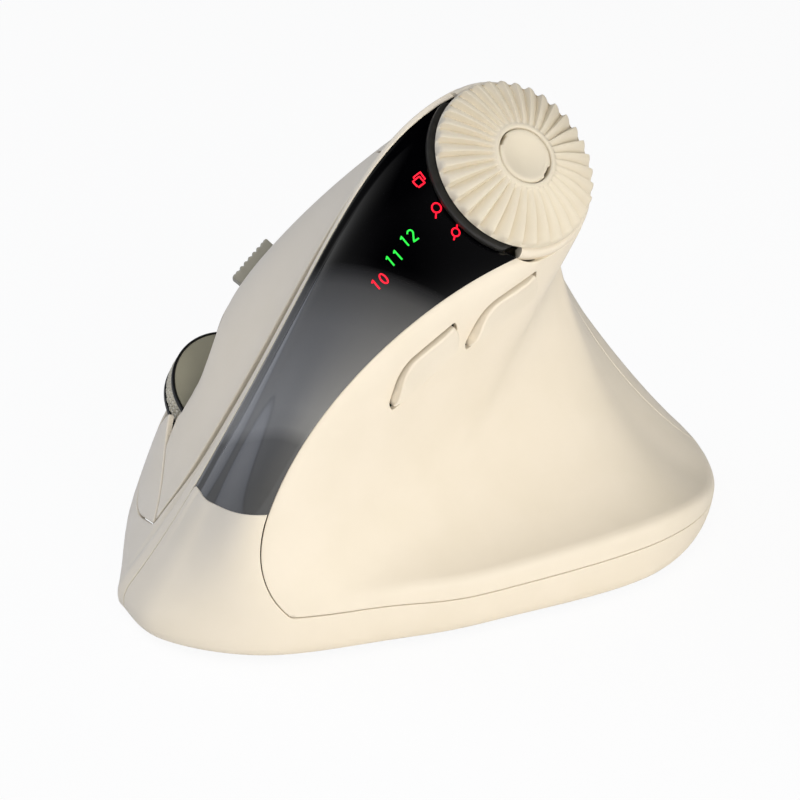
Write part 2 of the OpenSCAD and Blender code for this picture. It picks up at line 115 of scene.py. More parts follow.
@dataclass(frozen=True)
class Station:
    """One rail of the body, from the foot line up to the dial's rim.

    The rail leaves its foot along heading and rise, in degrees, with a handle of length reach.
    It meets the dial's rim at the angle place, turned by swirl and lift, with a handle pull.
    """

    foot: tuple[float, float, float]
    heading: float
    rise: float
    reach: float
    place: float
    swirl: float
    lift: float
    pull: float

    def handles(self) -> Array:
        """The four control points of the rail."""
        foot = np.array(self.foot)
        ch, sh = turned(self.heading)
        cr, sr = turned(self.rise)
        cp, sp = turned(self.place)
        cs, ss = turned(self.swirl)
        cl, sl = turned(self.lift)
        radial = cp * DIAL_FRONT + sp * DIAL_UP
        around = -sp * DIAL_FRONT + cp * DIAL_UP
        top = DIAL_C - RIM_DROP * DIAL_OUT + RIM_R * radial
        into = (-radial * cs + around * ss) * cl + DIAL_OUT * sl
        rise = np.array([ch * cr, sh * cr, sr])
        return np.array([foot, foot + self.reach * rise, top - self.pull * into, top])


NOSE = Station((2.2, 58.0, 5), -106, 49, 55.9, 80, 87, 12, 23.4)
STATIONS = (
    NOSE,
    Station((-10.7, 57.3, 6), -90.7, 57.8, 35.7, 6, 16.4, 17, 15.2),
    Station((-24.3, 46.1, 8), -87, 97, 27.4, -70, -63, 3, 26.9),
    Station((-32.9, 27.1, LIP_Z - 0.2), -30, 30, 16, -107, -51, 50, 14.9),
    Station((-38.6, 9.3, LIP_Z), -9, 10, 20.2, -134, 0, 77, 14.9),
    Station((-43.3, -23.6, LIP_Z + 1), 10, 8, 23.9, -172, 0, 95, 17.7),
    Station((-31.3, -46.7, LIP_Z - 3.8), 53, 16, 22.9, 165, 0, 99, 17),
    Station((-5.9, -58.3, 6), 86, 51, 33.5, 140, 0, 98, 24.1),
    Station((20.7, -46.3, 5), 134, 77, 33.7, 124, 0, 80, 17.4),
    Station((43.4, 7.9, 5), 181, 89, 28.9, 110, -5, 63, 26),
    Station((29.6, 39.0, 5), 206, 74, 45.9, 96, 54, 78, 25.7),
    NOSE,
)
LAST = len(STATIONS) - 1


class BodySkin:
    """The outer skin of the body, over u round the body and v up from the foot line.

    v below 0 is the skirt down to the desk and v = 1 is the dial's rim. The ridge is at u = 0, which is
    also u = 11. The sharp lines of the plain skin, along the ridge and the foot line, are rounded here.
    """

    ridge_round = 1.3
    ridge_reach = 6.0
    lip_round = (3.2, 3.2, 2.8, 1.8, 1.6, 1.6, 1.8, 2.4, 3.0, 3.0, 3.0, 3.2)
    lip_reach = 0.9
    lip_most = 0.8
    bead_h = 0.6
    valley_h = 0.55
    valley_at = 1.25
    valley_w = 0.75
    roll_h = 0.35
    roll_w = 1.6
    roll_span = (-0.1, 1.0)
    roll_rise = (0.14, 0.3)
    skirt_bend = 0.2
    rim_from = 0.7
    step_u = 0.002
    step_v = 0.001

    def __init__(self) -> None:
        """Sets out the rails, with one more beyond each end for the curve between them."""
        rails = np.array([s.handles() for s in STATIONS])
        before = 2 * rails[:1] - rails[1:2]
        after = 2 * rails[-1:] - rails[-2:-1]
        self._rails = np.concatenate([before, rails, after])

    def _handles(self, u: Array) -> Array:
        """Control points of the rail at each u."""
        u = np.where(u < 0, u + LAST, np.where(u > LAST, u - LAST, u))
        i = np.clip(u.astype(int), 0, LAST - 1)
        f = (u - i)[:, None, None]
        a, b, c, d = (self._rails[i + k] for k in range(4))
        return 0.5 * (2 * b + (c - a) * f + (2 * a - 5 * b + 4 * c - d) * f**2
                      + (3 * b - a - 3 * c + d) * f**3)

    def raw(self, u: Array, v: Array) -> Array:
        """The plain skin, with its sharp lines, as on the solid frame."""
        u, v = np.broadcast_arrays(np.asarray(u, float), np.asarray(v, float))
        h = self._handles(u)
        t = v[:, None]
        w = 1 - t
        climb = w**3 * h[:, 0] + 3 * w * w * t * h[:, 1] + 3 * w * t * t * h[:, 2] + t**3 * h[:, 3]
        foot = h[:, 0]
        k = 1 - TUCK / np.hypot(foot[:, 0], foot[:, 1])
        bend = np.stack([foot[:, 0], foot[:, 1], EDGE_Z + self.skirt_bend * (foot[:, 2] - EDGE_Z)], -1)
        edge = np.stack([foot[:, 0] * k, foot[:, 1] * k, np.full(len(k), EDGE_Z)], -1)
        w = np.clip(-t, 0.0, 1.0)
        skirt = (1 - w) ** 2 * foot + 2 * w * (1 - w) * bend + w * w * edge
        return np.where(t < 0, skirt, climb)

    def _lipped(self, u: Array, v: Array) -> Array:
        """The plain skin with its foot line rounded."""
        out = self.raw(u, v)
        near = np.nonzero(np.abs(v) < self.lip_reach)[0]
        un, vn = u[near], v[near]
        reach = np.interp(np.mod(un, LAST), np.arange(LAST + 1), self.lip_round)
        step = 0.02
        foot = self.raw(un, np.zeros_like(un))
        v_up = reach * step / np.linalg.norm(self.raw(un, np.full_like(un, step)) - foot, axis=-1)
        v_down = reach * step / np.linalg.norm(self.raw(un, np.full_like(un, -step)) - foot, axis=-1)
        v_down = np.minimum(v_down, self.lip_most)
        q = np.clip(0.5 + 0.5 * vn / np.where(vn > 0, v_up, v_down), 0, 1)[:, None]
        bent = ((1 - q) ** 2 * self.raw(un, -v_down) + 2 * q * (1 - q) * foot
                + q * q * self.raw(un, v_up))
        out[near] = np.where((q > 0) & (q < 1), bent, out[near])
        return out

    def mm_per_u(self, u: Array, v: Array, step: Array | float = PROBE) -> Array:
        """Millimetres of plain skin to a unit of u, measured from u to u + step."""
        return np.linalg.norm(self.raw(u + step, v) - self.raw(u, v), axis=-1) / np.abs(step)

    def ridge_mm(self, u: Array, v: Array) -> Array:
        """Distance from the ridge in millimetres, below 0 on the finger side."""
        u = np.where(u > LAST, u - LAST, u)
        du = np.where(u > LAST / 2, u - LAST, u)
        return du * self.mm_per_u(np.zeros_like(v), v, np.where(du < 0, -PROBE, PROBE))

    def roll_mm(self, u: Array, v: Array) -> Array:
        """Distance in millimetres from the thumb saddle's edge along the display."""
        return (u - U_THUMB) * self.mm_per_u(np.full_like(v, U_THUMB), v)

    def point(self, uv: Array) -> Array:
        """Points on the rounded skin.

        Args:
            uv: places on the skin, one row each.

        Returns:
            Points in millimetres.
        """
        u, v = uv[:, 0], uv[:, 1]
        out = self._lipped(u, v)
        s = self.ridge_mm(u, v)
        k = np.nonzero(np.abs(s) < self.ridge_reach)[0]
        if len(k):
            out[k] = self._crest(out[k], s[k], v[k])
        low, high = self.roll_span
        k = np.nonzero((u > U_THUMB + low) & (u < U_THUMB + high) & (v > self.roll_rise[0]))[0]
        if len(k):
            e = self.roll_mm(u[k], v[k])
            fall = self.roll_h * np.clip(1 - e / self.roll_w, 0, 1.5) ** 2 * ease(*self.roll_rise, v[k])
            out[k] -= fall[:, None] * self.lean(np.full(len(k), U_THUMB), v[k])
        return out

    def _crest(self, out: Array, s: Array, v: Array) -> Array:
        """Rounds the ridge and raises the bead along it.

        Args:
            out: points near the ridge.
            s: their distance from it, in millimetres.
            v: their height on the skin.

        Returns:
            The moved points.
        """
        zero = np.zeros_like(v)
        crest = self._lipped(zero, v)
        left, right = self.mm_per_u(zero, v, -PROBE), self.mm_per_u(zero, v)
        q = np.clip(0.5 + 0.5 * s / self.ridge_round, 0, 1)[:, None]
        bent = ((1 - q) ** 2 * self._lipped(-self.ridge_round / left, v) + 2 * q * (1 - q) * crest
                + q * q * self._lipped(self.ridge_round / right, v))
        out = np.where((q > 0) & (q < 1), bent, out)
        across = ease(-1.0, 0.7, s) * (1 - ease(BAND_W + 1, BAND_W + 3, s))
        bead = self.bead_h * ease(0.02, 0.3, v) * across
        dip = self.valley_h * ease(-0.02, 0.12, v) * np.exp(-(((s + self.valley_at) / self.valley_w) ** 2))
        return out + (bead - dip)[:, None] * self.lean(zero, v)

    def _square(self, u: Array, v: Array) -> Array:
        """Outward direction of the plain skin, averaged across a sharp line."""
        v = np.maximum(v, -0.97)
        c = self.raw(u, v)
        a = unit(self.raw(u + 0.02, v) - c) + unit(c - self.raw(u - 0.02, v))
        b = unit(self.raw(u, v + 0.01) - c) + unit(c - self.raw(u, v - 0.01))
        return unit(np.cross(a, b))

    def lean(self, u: Array, v: Array) -> Array:
        """Outward direction that turns towards the dial's rim near the dial."""
        rim = unit(unit(self.raw(u, np.ones_like(v)) - DIAL_C + RIM_DROP * DIAL_OUT) + DIAL_OUT)
        t = np.clip((v - self.rim_from) / (1 - self.rim_from), 0, 1)[:, None]
        return unit(self._square(u, np.minimum(v, 0.9)) * (1 - t) + rim * t)

    def normal(self, uv: Array) -> Array:
        """Outward directions of the rounded skin."""
        a, b = self.slopes(uv)
        return unit(np.cross(a, b))

    def slopes(self, uv: Array) -> tuple[Array, Array]:
        """Change of the point with u and with v."""
        du, dv = np.array([self.step_u, 0.0]), np.array([0.0, self.step_v])
        a = (self.point(uv + du) - self.point(uv - du)) / (2 * self.step_u)
        b = (self.point(uv + dv) - self.point(uv - dv)) / (2 * self.step_v)
        return a, b

    def shift(self, uv: Array, move: Array) -> Array:
        """Change of uv that carries a point along a short tangent move, in millimetres."""
        a, b = self.slopes(uv)
        aa, bb, ab = (a * a).sum(-1), (b * b).sum(-1), (a * b).sum(-1)
        am, bm = (a * move).sum(-1), (b * move).sum(-1)
        det = aa * bb - ab * ab
        return np.stack([(am * bb - bm * ab) / det, (bm * aa - am * ab) / det], -1)

    def chart(self, uv: Array) -> Array:
        """uv stretched to about a millimetre a unit, for the triangles."""
        return uv * np.array([24.0, 90.0])


class FrontSkin(BodySkin):
    """The skin of the nose and the display, without the rolled edge of the saddle."""

    roll_h = 0.0


@dataclass(frozen=True)
class Axes:
    """A frame of three square directions at a point, in millimetres."""

    origin: Array
    x: Array
    y: Array
    z: Array

    def at(self, xyz: Array) -> Array:
        """Points given in this frame, in the part's frame."""
        return self.origin + xyz[..., :1] * self.x + xyz[..., 1:2] * self.y + xyz[..., 2:3] * self.z

    def plan(self, p: Array) -> Array:
        """The x and y of points, in this frame."""
        d = p - self.origin
        return np.stack([d @ self.x, d @ self.y], -1)


class FlatSkin:
    """A flat face, with u and v in millimetres along its x and y."""

    def __init__(self, axes: Axes) -> None:
        """Lays the face in a frame."""
        self.axes = axes

    def point(self, uv: Array) -> Array:
        """Points on the face."""
        return self.axes.at(np.concatenate([uv, np.zeros((len(uv), 1))], -1))

    def normal(self, uv: Array) -> Array:
        """The face's own direction at each place."""
        return np.repeat(self.axes.z[None], len(uv), 0)

    def shift(self, uv: Array, move: Array) -> Array:
        """The move along the face's own x and y."""
        return np.stack([move @ self.axes.x, move @ self.axes.y], -1)

    def chart(self, uv: Array) -> Array:
        """uv as it is."""
        return uv


Skin = BodySkin | FlatSkin
BODY = BodySkin()
FRONT = FrontSkin()
THUMB_PLACES = ((2.42, 0.64), (2.66, 0.8))
THUMB_TURNS = (8.0, 0.0)
SIGN_PLACES = ((0.96, 0.968), (1.28, 0.968), (1.51, 0.962))
NUMBER_PLACES = ((1.34, 0.86), (1.39, 0.805), (1.46, 0.75))
FINGER_PLACE = (9.85, 0.2)
FINGER_ROLL = 50.0
FINGER_YAW = 36.0


def finger_axes() -> Axes:
    """Frame of the finger face: x the way the fingers point, y up to the ridge, z out."""
    c, s = turned(FINGER_ROLL)
    cy, sy = turned(FINGER_YAW)
    y = np.array([-c, 0.0, s])
    z = cy * np.array([s, 0.0, c]) + sy * np.array([0.0, 1.0, 0.0])
    u, v = (np.array([q]) for q in FINGER_PLACE)
    return Axes(BODY.raw(u, v)[0], np.cross(y, z), y, z)


def thumb_axes(place: int) -> Axes:
    """Frame of one thumb button: x back along the buttons, y up, z out."""
    u, v = (np.array([p[k] for p in THUMB_PLACES]) for k in (0, 1))
    p, n = BODY.raw(u, v), BODY.lean(u, v)[place]
    y = unit(np.cross(n, unit(p[1] - p[0])))
    x = np.cross(y, n)
    c, s = turned(THUMB_TURNS[place])
    return Axes(p[place], c * x + s * y, c * y - s * x, n)


FINGER = finger_axes()
DIAL = Axes(DIAL_C, np.cross(DIAL_FRONT, DIAL_OUT), DIAL_FRONT, DIAL_OUT)


def band_u(v: Array) -> Array:
    """Width of the ridge band, in u."""
    return BAND_W / BODY.mm_per_u(np.zeros_like(v), v, 10 * PROBE)


def window_foot(u: Array) -> Array:
    """Lower edge of the display, in v."""
    return 0.147 + 0.056 * u


def window_line() -> Array:
    """Places on the display's lower edge, from the thumb saddle to the ridge band."""
    u = np.linspace(U_THUMB, 0.0, 80)
    out = np.stack([u, window_foot(u)], -1)
    out[-1, 0] = band_u(out[-1:, 1])[0]
    return out[out[:, 0] >= out[-1, 0]]


# Outlines


def span(a: Sequence[float], b: Sequence[float], n: int = 60) -> Array:
    """Points on a straight line from a to b."""
    return np.linspace(np.asarray(a, float), np.asarray(b, float), n)


def softened(points: Sequence[Corner]) -> list[Array]:
    """A closed outline whose corners are drawn in.

    Args:
        points: x, y and how far from the corner its curve starts, where 0 means as far as it fits.

    Returns:
        One closed run of points, as a list of one.
    """
    p = np.array([q[:2] for q in points], float)
    run = []
    for i, (_, _, reach) in enumerate(points):
        a, b = p[i - 1] - p[i], p[(i + 1) % len(p)] - p[i]
        la, lb = np.linalg.norm(a), np.linalg.norm(b)
        t = 0.48 * min(la, lb)
        t = min(t, reach) if reach else t
        q = np.linspace(0, 1, 9)[:, None]
        run.append((1 - q) ** 2 * (p[i] + a / la * t) + 2 * q * (1 - q) * p[i] + q * q * (p[i] + b / lb * t))
    run = np.concatenate(run)
    return [np.concatenate([run, run[:1]])]


def traced(skin: Skin, arcs: Sequence[Array], step: float) -> Array:
    """A closed loop with even steps along each arc, corners kept.

    Args:
        skin: where the loop lies.
        arcs: runs of uv places, each from one corner to the next.
        step: spacing in millimetres.

    Returns:
        The loop's uv places.
    """
    out = []
    for arc in arcs:
        p = skin.point(arc)
        along = np.concatenate([[0.0], np.cumsum(np.linalg.norm(np.diff(p, axis=0), axis=-1))])
        n = max(2, int(round(along[-1] / step)))
        t = np.linspace(0, along[-1], n + 1)[:-1]
        out.append(np.stack([np.interp(t, along, arc[:, k]) for k in (0, 1)], -1))
    return np.concatenate(out)


def within(loops: Sequence[Array], p: Array) -> Array:
    """True where a place lies inside the outer loop and outside the holes."""
    inside = np.zeros(len(p), bool)
    x, y = p[:, 0], p[:, 1]
    for loop in loops:
        for (x0, y0), (x1, y1) in zip(loop, np.roll(loop, -1, 0)):
            if y0 != y1:
                inside ^= ((y0 > y) != (y1 > y)) & (x < (x1 - x0) * (y - y0) / (y1 - y0) + x0)
    return inside


class PlanFinder:
    """Finds the place on the body's skin that lies under a point of a frame's plan."""

    samples = 70
    rounds = 8
    most_u = 0.2
    most_v = 0.05

    def __init__(self, axes: Axes, u_range: tuple[float, float], v_range: tuple[float, float]) -> None:
        """Samples the part of the skin that faces the frame.

        Args:
            axes: the frame.
            u_range: lowest and highest u to look at.
            v_range: lowest and highest v to look at.
        """
        self.axes = axes
        uv = lattice(np.linspace(*u_range, self.samples), np.linspace(*v_range, self.samples))
        self._uv = uv[BODY.lean(uv[:, 0], uv[:, 1]) @ axes.z > 0.05]
        self._tree = near_tree(axes.plan(BODY.point(self._uv)))

    def __call__(self, xy: Array) -> Array:
        """Places on the skin for points of the plan."""
        uv = self._uv[[self._tree.find((x, y, 0.0))[1] for x, y in xy]].copy()
        for _ in range(self.rounds):
            a, b = BODY.slopes(uv)
            miss = self.axes.plan(BODY.point(uv)) - xy
            ax, ay, bx, by = a @ self.axes.x, a @ self.axes.y, b @ self.axes.x, b @ self.axes.y
            det = ax * by - ay * bx
            uv[:, 0] -= np.clip((miss[:, 0] * by - miss[:, 1] * bx) / det, -self.most_u, self.most_u)
            uv[:, 1] -= np.clip((miss[:, 1] * ax - miss[:, 0] * ay) / det, -self.most_v, self.most_v)
        return uv


# Mesh makers


def new_object(name: str, verts: Array, faces: list, normals: Array | None = None,
               sharp: float = 40.0) -> bpy.types.Object:
    """A mesh object in the part's frame.

    Args:
        name: the piece's name.
        verts: points in millimetres.
        faces: lists of point numbers.
        normals: outward direction of each point, or None to work them out.
        sharp: angle in degrees above which an edge stays sharp, where normals is None.

    Returns:
        The new object.
    """
    mesh = bpy.data.meshes.new(name)
    mesh.from_pydata((verts * MM).tolist(), [], faces)
    mesh.polygons.foreach_set("use_smooth", [True] * len(mesh.polygons))
    mesh.update()
    if normals is not None:
        mesh.normals_split_custom_set_from_vertices(normals.tolist())
    else:
        mesh.set_sharp_from_angle(angle=math.radians(sharp))
    obj = bpy.data.objects.new(name, mesh)
    bpy.context.scene.collection.objects.link(obj)
    return obj


@dataclass(frozen=True)
class EdgeForm:
    """How a moulded plate ends: its rounded edge, its depth and how far it stays inside its outline.

    The edge has steps rows of points, and no inner point lies nearer to it than clear.
    """

    radius: float = 0.18
    depth: float = 0.9
    inset: float = SEAM / 4
    steps: int = 4
    clear: float = 0.3


def signed_area(loop: Array) -> float:
    """Area of a loop, above 0 where it runs against the clock."""
    x, y = loop[:, 0], loop[:, 1]
    return 0.5 * float(np.sum(x * np.roll(y, -1) - np.roll(x, -1) * y))


def edge_rows(skin: Skin, loop: Array, edge: EdgeForm, rise: Height) -> list[tuple[Array, Array, Array]]:
    """Rows of points round a plate's edge, from its top down to its underside.

    Args:
        skin: what the plate lies on.
        loop: the outline's uv places.
        edge: the form of the edge.
        rise: height above the skin in millimetres at uv places.

    Returns:
        uv places, points and outward directions of each row.
    """
    p, n = skin.point(loop), skin.normal(loop)
    before, after = unit(p - np.roll(p, 1, 0)), unit(np.roll(p, -1, 0) - p)
    along = unit(before + after)
    inward = unit(np.cross(n, along))
    miter = 1 / np.clip((before * along).sum(-1, keepdims=True), 0.65, 1)
    rows = []
    for a in np.linspace(0, math.pi / 2, edge.steps + 1):
        inset = edge.inset + edge.radius * (1 - math.sin(a))
        uv = loop + skin.shift(loop, inward * miter * inset)
        out = skin.normal(uv)
        place = skin.point(uv) + (rise(uv) - edge.radius * (1 - math.cos(a)))[:, None] * out
        rows.append((uv, place, unit(math.cos(a) * out - math.sin(a) * inward)))
    uv, place, _ = rows[-1]
    rows.append((uv, place - (edge.depth - edge.radius) * skin.normal(uv), -inward))
    return rows


def triangles(flat: Array, charts: Sequence[Array]) -> Array:
    """Triangles over flat points, inside the outer loop and outside the holes.

    Args:
        flat: every point, the loops' own first.
        charts: the loops, the outer one first.

    Returns:
        Three point numbers each, against the clock.
    """
    borders, start = [], 0
    for loop in charts:
        borders += [(start + k, start + (k + 1) % len(loop)) for k in range(len(loop))]
        start += len(loop)
    made = delaunay_2d_cdt([Vector(q) for q in flat.tolist()], borders, [], 0, 1e-6, True)
    source = [ids[0] if ids else -1 for ids in made[3]]
    tris = np.array([[source[k] for k in f] for f in made[2]])
    tris = tris[(tris >= 0).all(1)]
    tris = tris[within(charts, flat[tris].mean(1))]
    spin = flat[tris]
    ab, ac = spin[:, 1] - spin[:, 0], spin[:, 2] - spin[:, 0]
    flip = ab[:, 0] * ac[:, 1] - ab[:, 1] * ac[:, 0] < 0
    tris[flip] = tris[flip][:, ::-1]
    return tris


def plate(name: str, skin: Skin, loops: Sequence[Array], inner: Array, edge: EdgeForm,
          lift: Height | None = None) -> bpy.types.Object:
    """A closed moulded plate on a skin, with rounded edges.

    Args:
        name: the piece's name.
        skin: what the plate lies on.
        loops: outlines as uv places, the outer one first and then the holes.
        inner: uv places for points inside.
        edge: the form of its edges.
        lift: height above the skin in millimetres at uv places, or None for 0.

    Returns:
        The new object.
    """
    rise = lift or (lambda uv: np.zeros(len(uv)))
    edges = []
    for i, loop in enumerate(loops):
        runs_right = (signed_area(loop) > 0) == (i == 0)
        edges.append(edge_rows(skin, loop if runs_right else loop[::-1], edge, rise))
    tops = [rows[0][0] for rows in edges]
    charts = [skin.chart(t) for t in tops]
    tree = near_tree(np.concatenate(charts))
    spots = skin.chart(inner)
    clear = np.array([tree.find((x, y, 0.0))[2] > edge.clear for x, y in spots], bool)
    uv = np.concatenate([*tops, inner[within(charts, spots) & clear]])
    tris = triangles(skin.chart(uv), charts)
    normal = skin.normal(uv)
    top = skin.point(uv) + rise(uv)[:, None] * normal
    verts, normals = [top, top - edge.depth * normal], [normal, -normal]
    faces = tris.tolist() + (tris[:, ::-1] + len(uv)).tolist()
    count, start = 2 * len(uv), 0
    for rows in edges:
        n = len(rows[0][0])
        upper = np.arange(start, start + n)
        under = upper + len(uv)
        start += n
        for _, place, direction in rows[1:]:
            lower = np.arange(count, count + n)
            count += n
            verts.append(place)
            normals.append(direction)
            faces += strip(lower, upper)
            upper = lower
        faces += strip(under, upper)
    return new_object(name, np.concatenate(verts), faces, np.concatenate(normals))


def strip(lower: Array, upper: Array) -> list:
    """Faces between two closed rings of point numbers."""
    return np.stack([lower, np.roll(lower, -1), np.roll(upper, -1), upper], -1).tolist()


def lathe(name: str, axes: Axes, profile: Sequence[tuple[float, float]], turns: int,
          form: Callable[[Array, Array, Array], tuple[Array, Array]] | None = None,
          sharp: float = 40.0) -> bpy.types.Object:
    """A closed turned piece about a frame's z.

    Args:
        name: the piece's name.
        axes: its frame.
        profile: radius and height along the closed section, against the clock.
        turns: points round the circle.
        form: changes radius and height by angle, or None.
        sharp: angle in degrees above which an edge stays sharp.

    Returns:
        The new object.
    """
    rz = np.array(profile, float)
    a = np.linspace(0, 2 * math.pi, turns, endpoint=False)
    r, z = (np.repeat(rz[:, k][:, None], turns, 1) for k in (0, 1))
    angle = np.repeat(a[None], len(rz), 0)
    if form:
        r, z = form(r, z, angle)
    xyz = np.stack([r * np.cos(angle), r * np.sin(angle), z], -1).reshape(-1, 3)
    rows = np.arange(len(rz) * turns).reshape(len(rz), turns)
    faces = []
    for i in range(len(rz)):
        faces += strip(rows[i], rows[(i + 1) % len(rz)])
    return new_object(name, axes.at(xyz), faces, sharp=sharp)


# Finishes


def linear(code: str) -> tuple[float, float, float, float]:
    """A linear colour from an sRGB hex code."""
    parts = [int(code.lstrip("#")[k:k + 2], 16) / 255 for k in (0, 2, 4)]
    return (*(c / 12.92 if c <= 0.04045 else ((c + 0.055) / 1.055) ** 2.4 for c in parts), 1.0)


def add_node(tree: bpy.types.NodeTree, kind: str, values: dict | None = None, links: dict | None = None,
             **settings: object) -> bpy.types.Node:
    """Adds one node.

    Args:
        tree: where it goes.
        kind: the node's type.
        values: fixed values by input name or number.
        links: output sockets by input name or number.
        **settings: the node's own settings.

    Returns:
        The new node.
    """
    node = tree.nodes.new(kind)
    for key, value in settings.items():
        setattr(node, key, value)
    for key, value in (values or {}).items():
        node.inputs[key].default_value = value
    for key, socket in (links or {}).items():
        tree.links.new(socket, node.inputs[key])
    return node


def blank_tree(owner: bpy.types.Material | bpy.types.World) -> bpy.types.NodeTree:
    """An empty node tree for a material or a world."""
    owner.use_nodes = True
    owner.node_tree.nodes.clear()
    return owner.node_tree


def per_metre(size_mm: float) -> float:
    """Texture scale that gives features of about that size."""
    return 1.0 / (size_mm * MM)


@dataclass(frozen=True)
class Finish:
    """A surface finish: one procedural material.

    Attributes:
        name: the real material and how its surface was made.
        colour: sRGB hex of the body colour.
        second: sRGB hex that the colour drifts to.
        drift_mm: size of the drift's patches.
        roughness: mean roughness.
        spread: how far the roughness varies.
        grain_mm: size of the surface grain.
        grain_h: height of the grain, in millimetres.
        ior: index of refraction.
        metallic: 1 for bare metal.
        glow: emission strength in the body colour.
        see_through: transmission weight.
    """

    name: str
    colour: str
    second: str
    drift_mm: float = 9.0
    roughness: float = 0.5
    spread: float = 0.06
    grain_mm: float = 0.45
    grain_h: float = 0.006
    ior: float = 1.5
    metallic: float = 0.0
    glow: float = 0.0
    see_through: float = 0.0

    def body_colour(self, tree: bpy.types.NodeTree, place: bpy.types.NodeSocket) -> bpy.types.NodeSocket:
        """Colour that drifts a little over the piece.

        Args:
            tree: where its nodes go.
            place: places on the piece.

        Returns:
            The colour's socket.
        """
        drift = add_node(tree, "ShaderNodeTexNoise", {"Scale": per_metre(self.drift_mm), "Detail": 3.0},
                         {"Vector": place})
        ramp = add_node(tree, "ShaderNodeValToRGB", None, {"Fac": drift.outputs["Fac"]})
        ramp.color_ramp.elements[0].color = linear(self.colour)
        ramp.color_ramp.elements[0].position = 0.35
        ramp.color_ramp.elements[1].color = linear(self.second)
        ramp.color_ramp.elements[1].position = 0.7
        return ramp.outputs["Color"]

    def material(self) -> bpy.types.Material:
        """The material, made once and then shared."""
        found = bpy.data.materials.get(self.name)
        if found:
            return found
        made = bpy.data.materials.new(self.name)
        tree = blank_tree(made)
        place = add_node(tree, "ShaderNodeTexCoord").outputs["Object"]
        grain = add_node(tree, "ShaderNodeTexNoise", {"Scale": per_metre(self.grain_mm), "Detail": 2.0},
                         {"Vector": place})
        rough = add_node(tree, "ShaderNodeMapRange",
                         {"To Min": self.roughness - self.spread, "To Max": self.roughness + self.spread},
                         {"Value": grain.outputs["Fac"]})
        bump = add_node(tree, "ShaderNodeBump", {"Strength": 1.0, "Distance": self.grain_h * MM},
                        {"Height": grain.outputs["Fac"]})
        shader = add_node(tree, "ShaderNodeBsdfPrincipled",
                          {"IOR": self.ior, "Metallic": self.metallic,
                           "Transmission Weight": self.see_through,
                           "Emission Color": linear(self.colour), "Emission Strength": self.glow},
                          {"Base Color": self.body_colour(tree, place), "Roughness": rough.outputs["Result"],
                           "Normal": bump.outputs["Normal"]})
        add_node(tree, "ShaderNodeOutputMaterial", None, {"Surface": shader.outputs["BSDF"]})
        return made


@dataclass(frozen=True)
class PaintedReflectionFade(Finish):
    """Clear gloss over a colour that fades from one tone to the next along the piece: its own black, then greys
    that are a painted reflection of the studio.

    Attributes:
        start: point where the fade starts, in millimetres.
        along: direction of the fade.
        length: its length in millimetres.
        reflection_tones: share of the length and sRGB hex at each step; the greys are painted reflection.
    """

    start: tuple[float, float, float] = (0.0, 0.0, 0.0)
    along: tuple[float, float, float] = (0.0, 0.0, 1.0)
    length: float = 1.0
    reflection_tones: tuple[tuple[float, str], ...] = ()

    def body_colour(self, tree: bpy.types.NodeTree, place: bpy.types.NodeSocket) -> bpy.types.NodeSocket:
        """Colour that fades along the piece, its greys being painted reflection.

        Args:
            tree: where its nodes go.
            place: places on the piece.

        Returns:
            The colour's socket.
        """
        start, along = np.array(self.start), unit(np.array(self.along))
        far = add_node(tree, "ShaderNodeVectorMath", {1: tuple(along)}, {0: place}, operation="DOT_PRODUCT")
        first = float(start @ along) * MM
        share = add_node(tree, "ShaderNodeMapRange",
                         {"From Min": first, "From Max": first + self.length * MM},
                         {"Value": far.outputs["Value"]})
        ramp = add_node(tree, "ShaderNodeValToRGB", None, {"Fac": share.outputs["Result"]})
        steps = ramp.color_ramp.elements
        for step, (position, tone) in zip((steps[0], steps[1]), (self.reflection_tones[0], self.reflection_tones[-1])):
            step.position, step.color = position, linear(tone)
        for position, tone in self.reflection_tones[1:-1]:
            steps.new(position).color = linear(tone)
        return ramp.outputs["Color"]


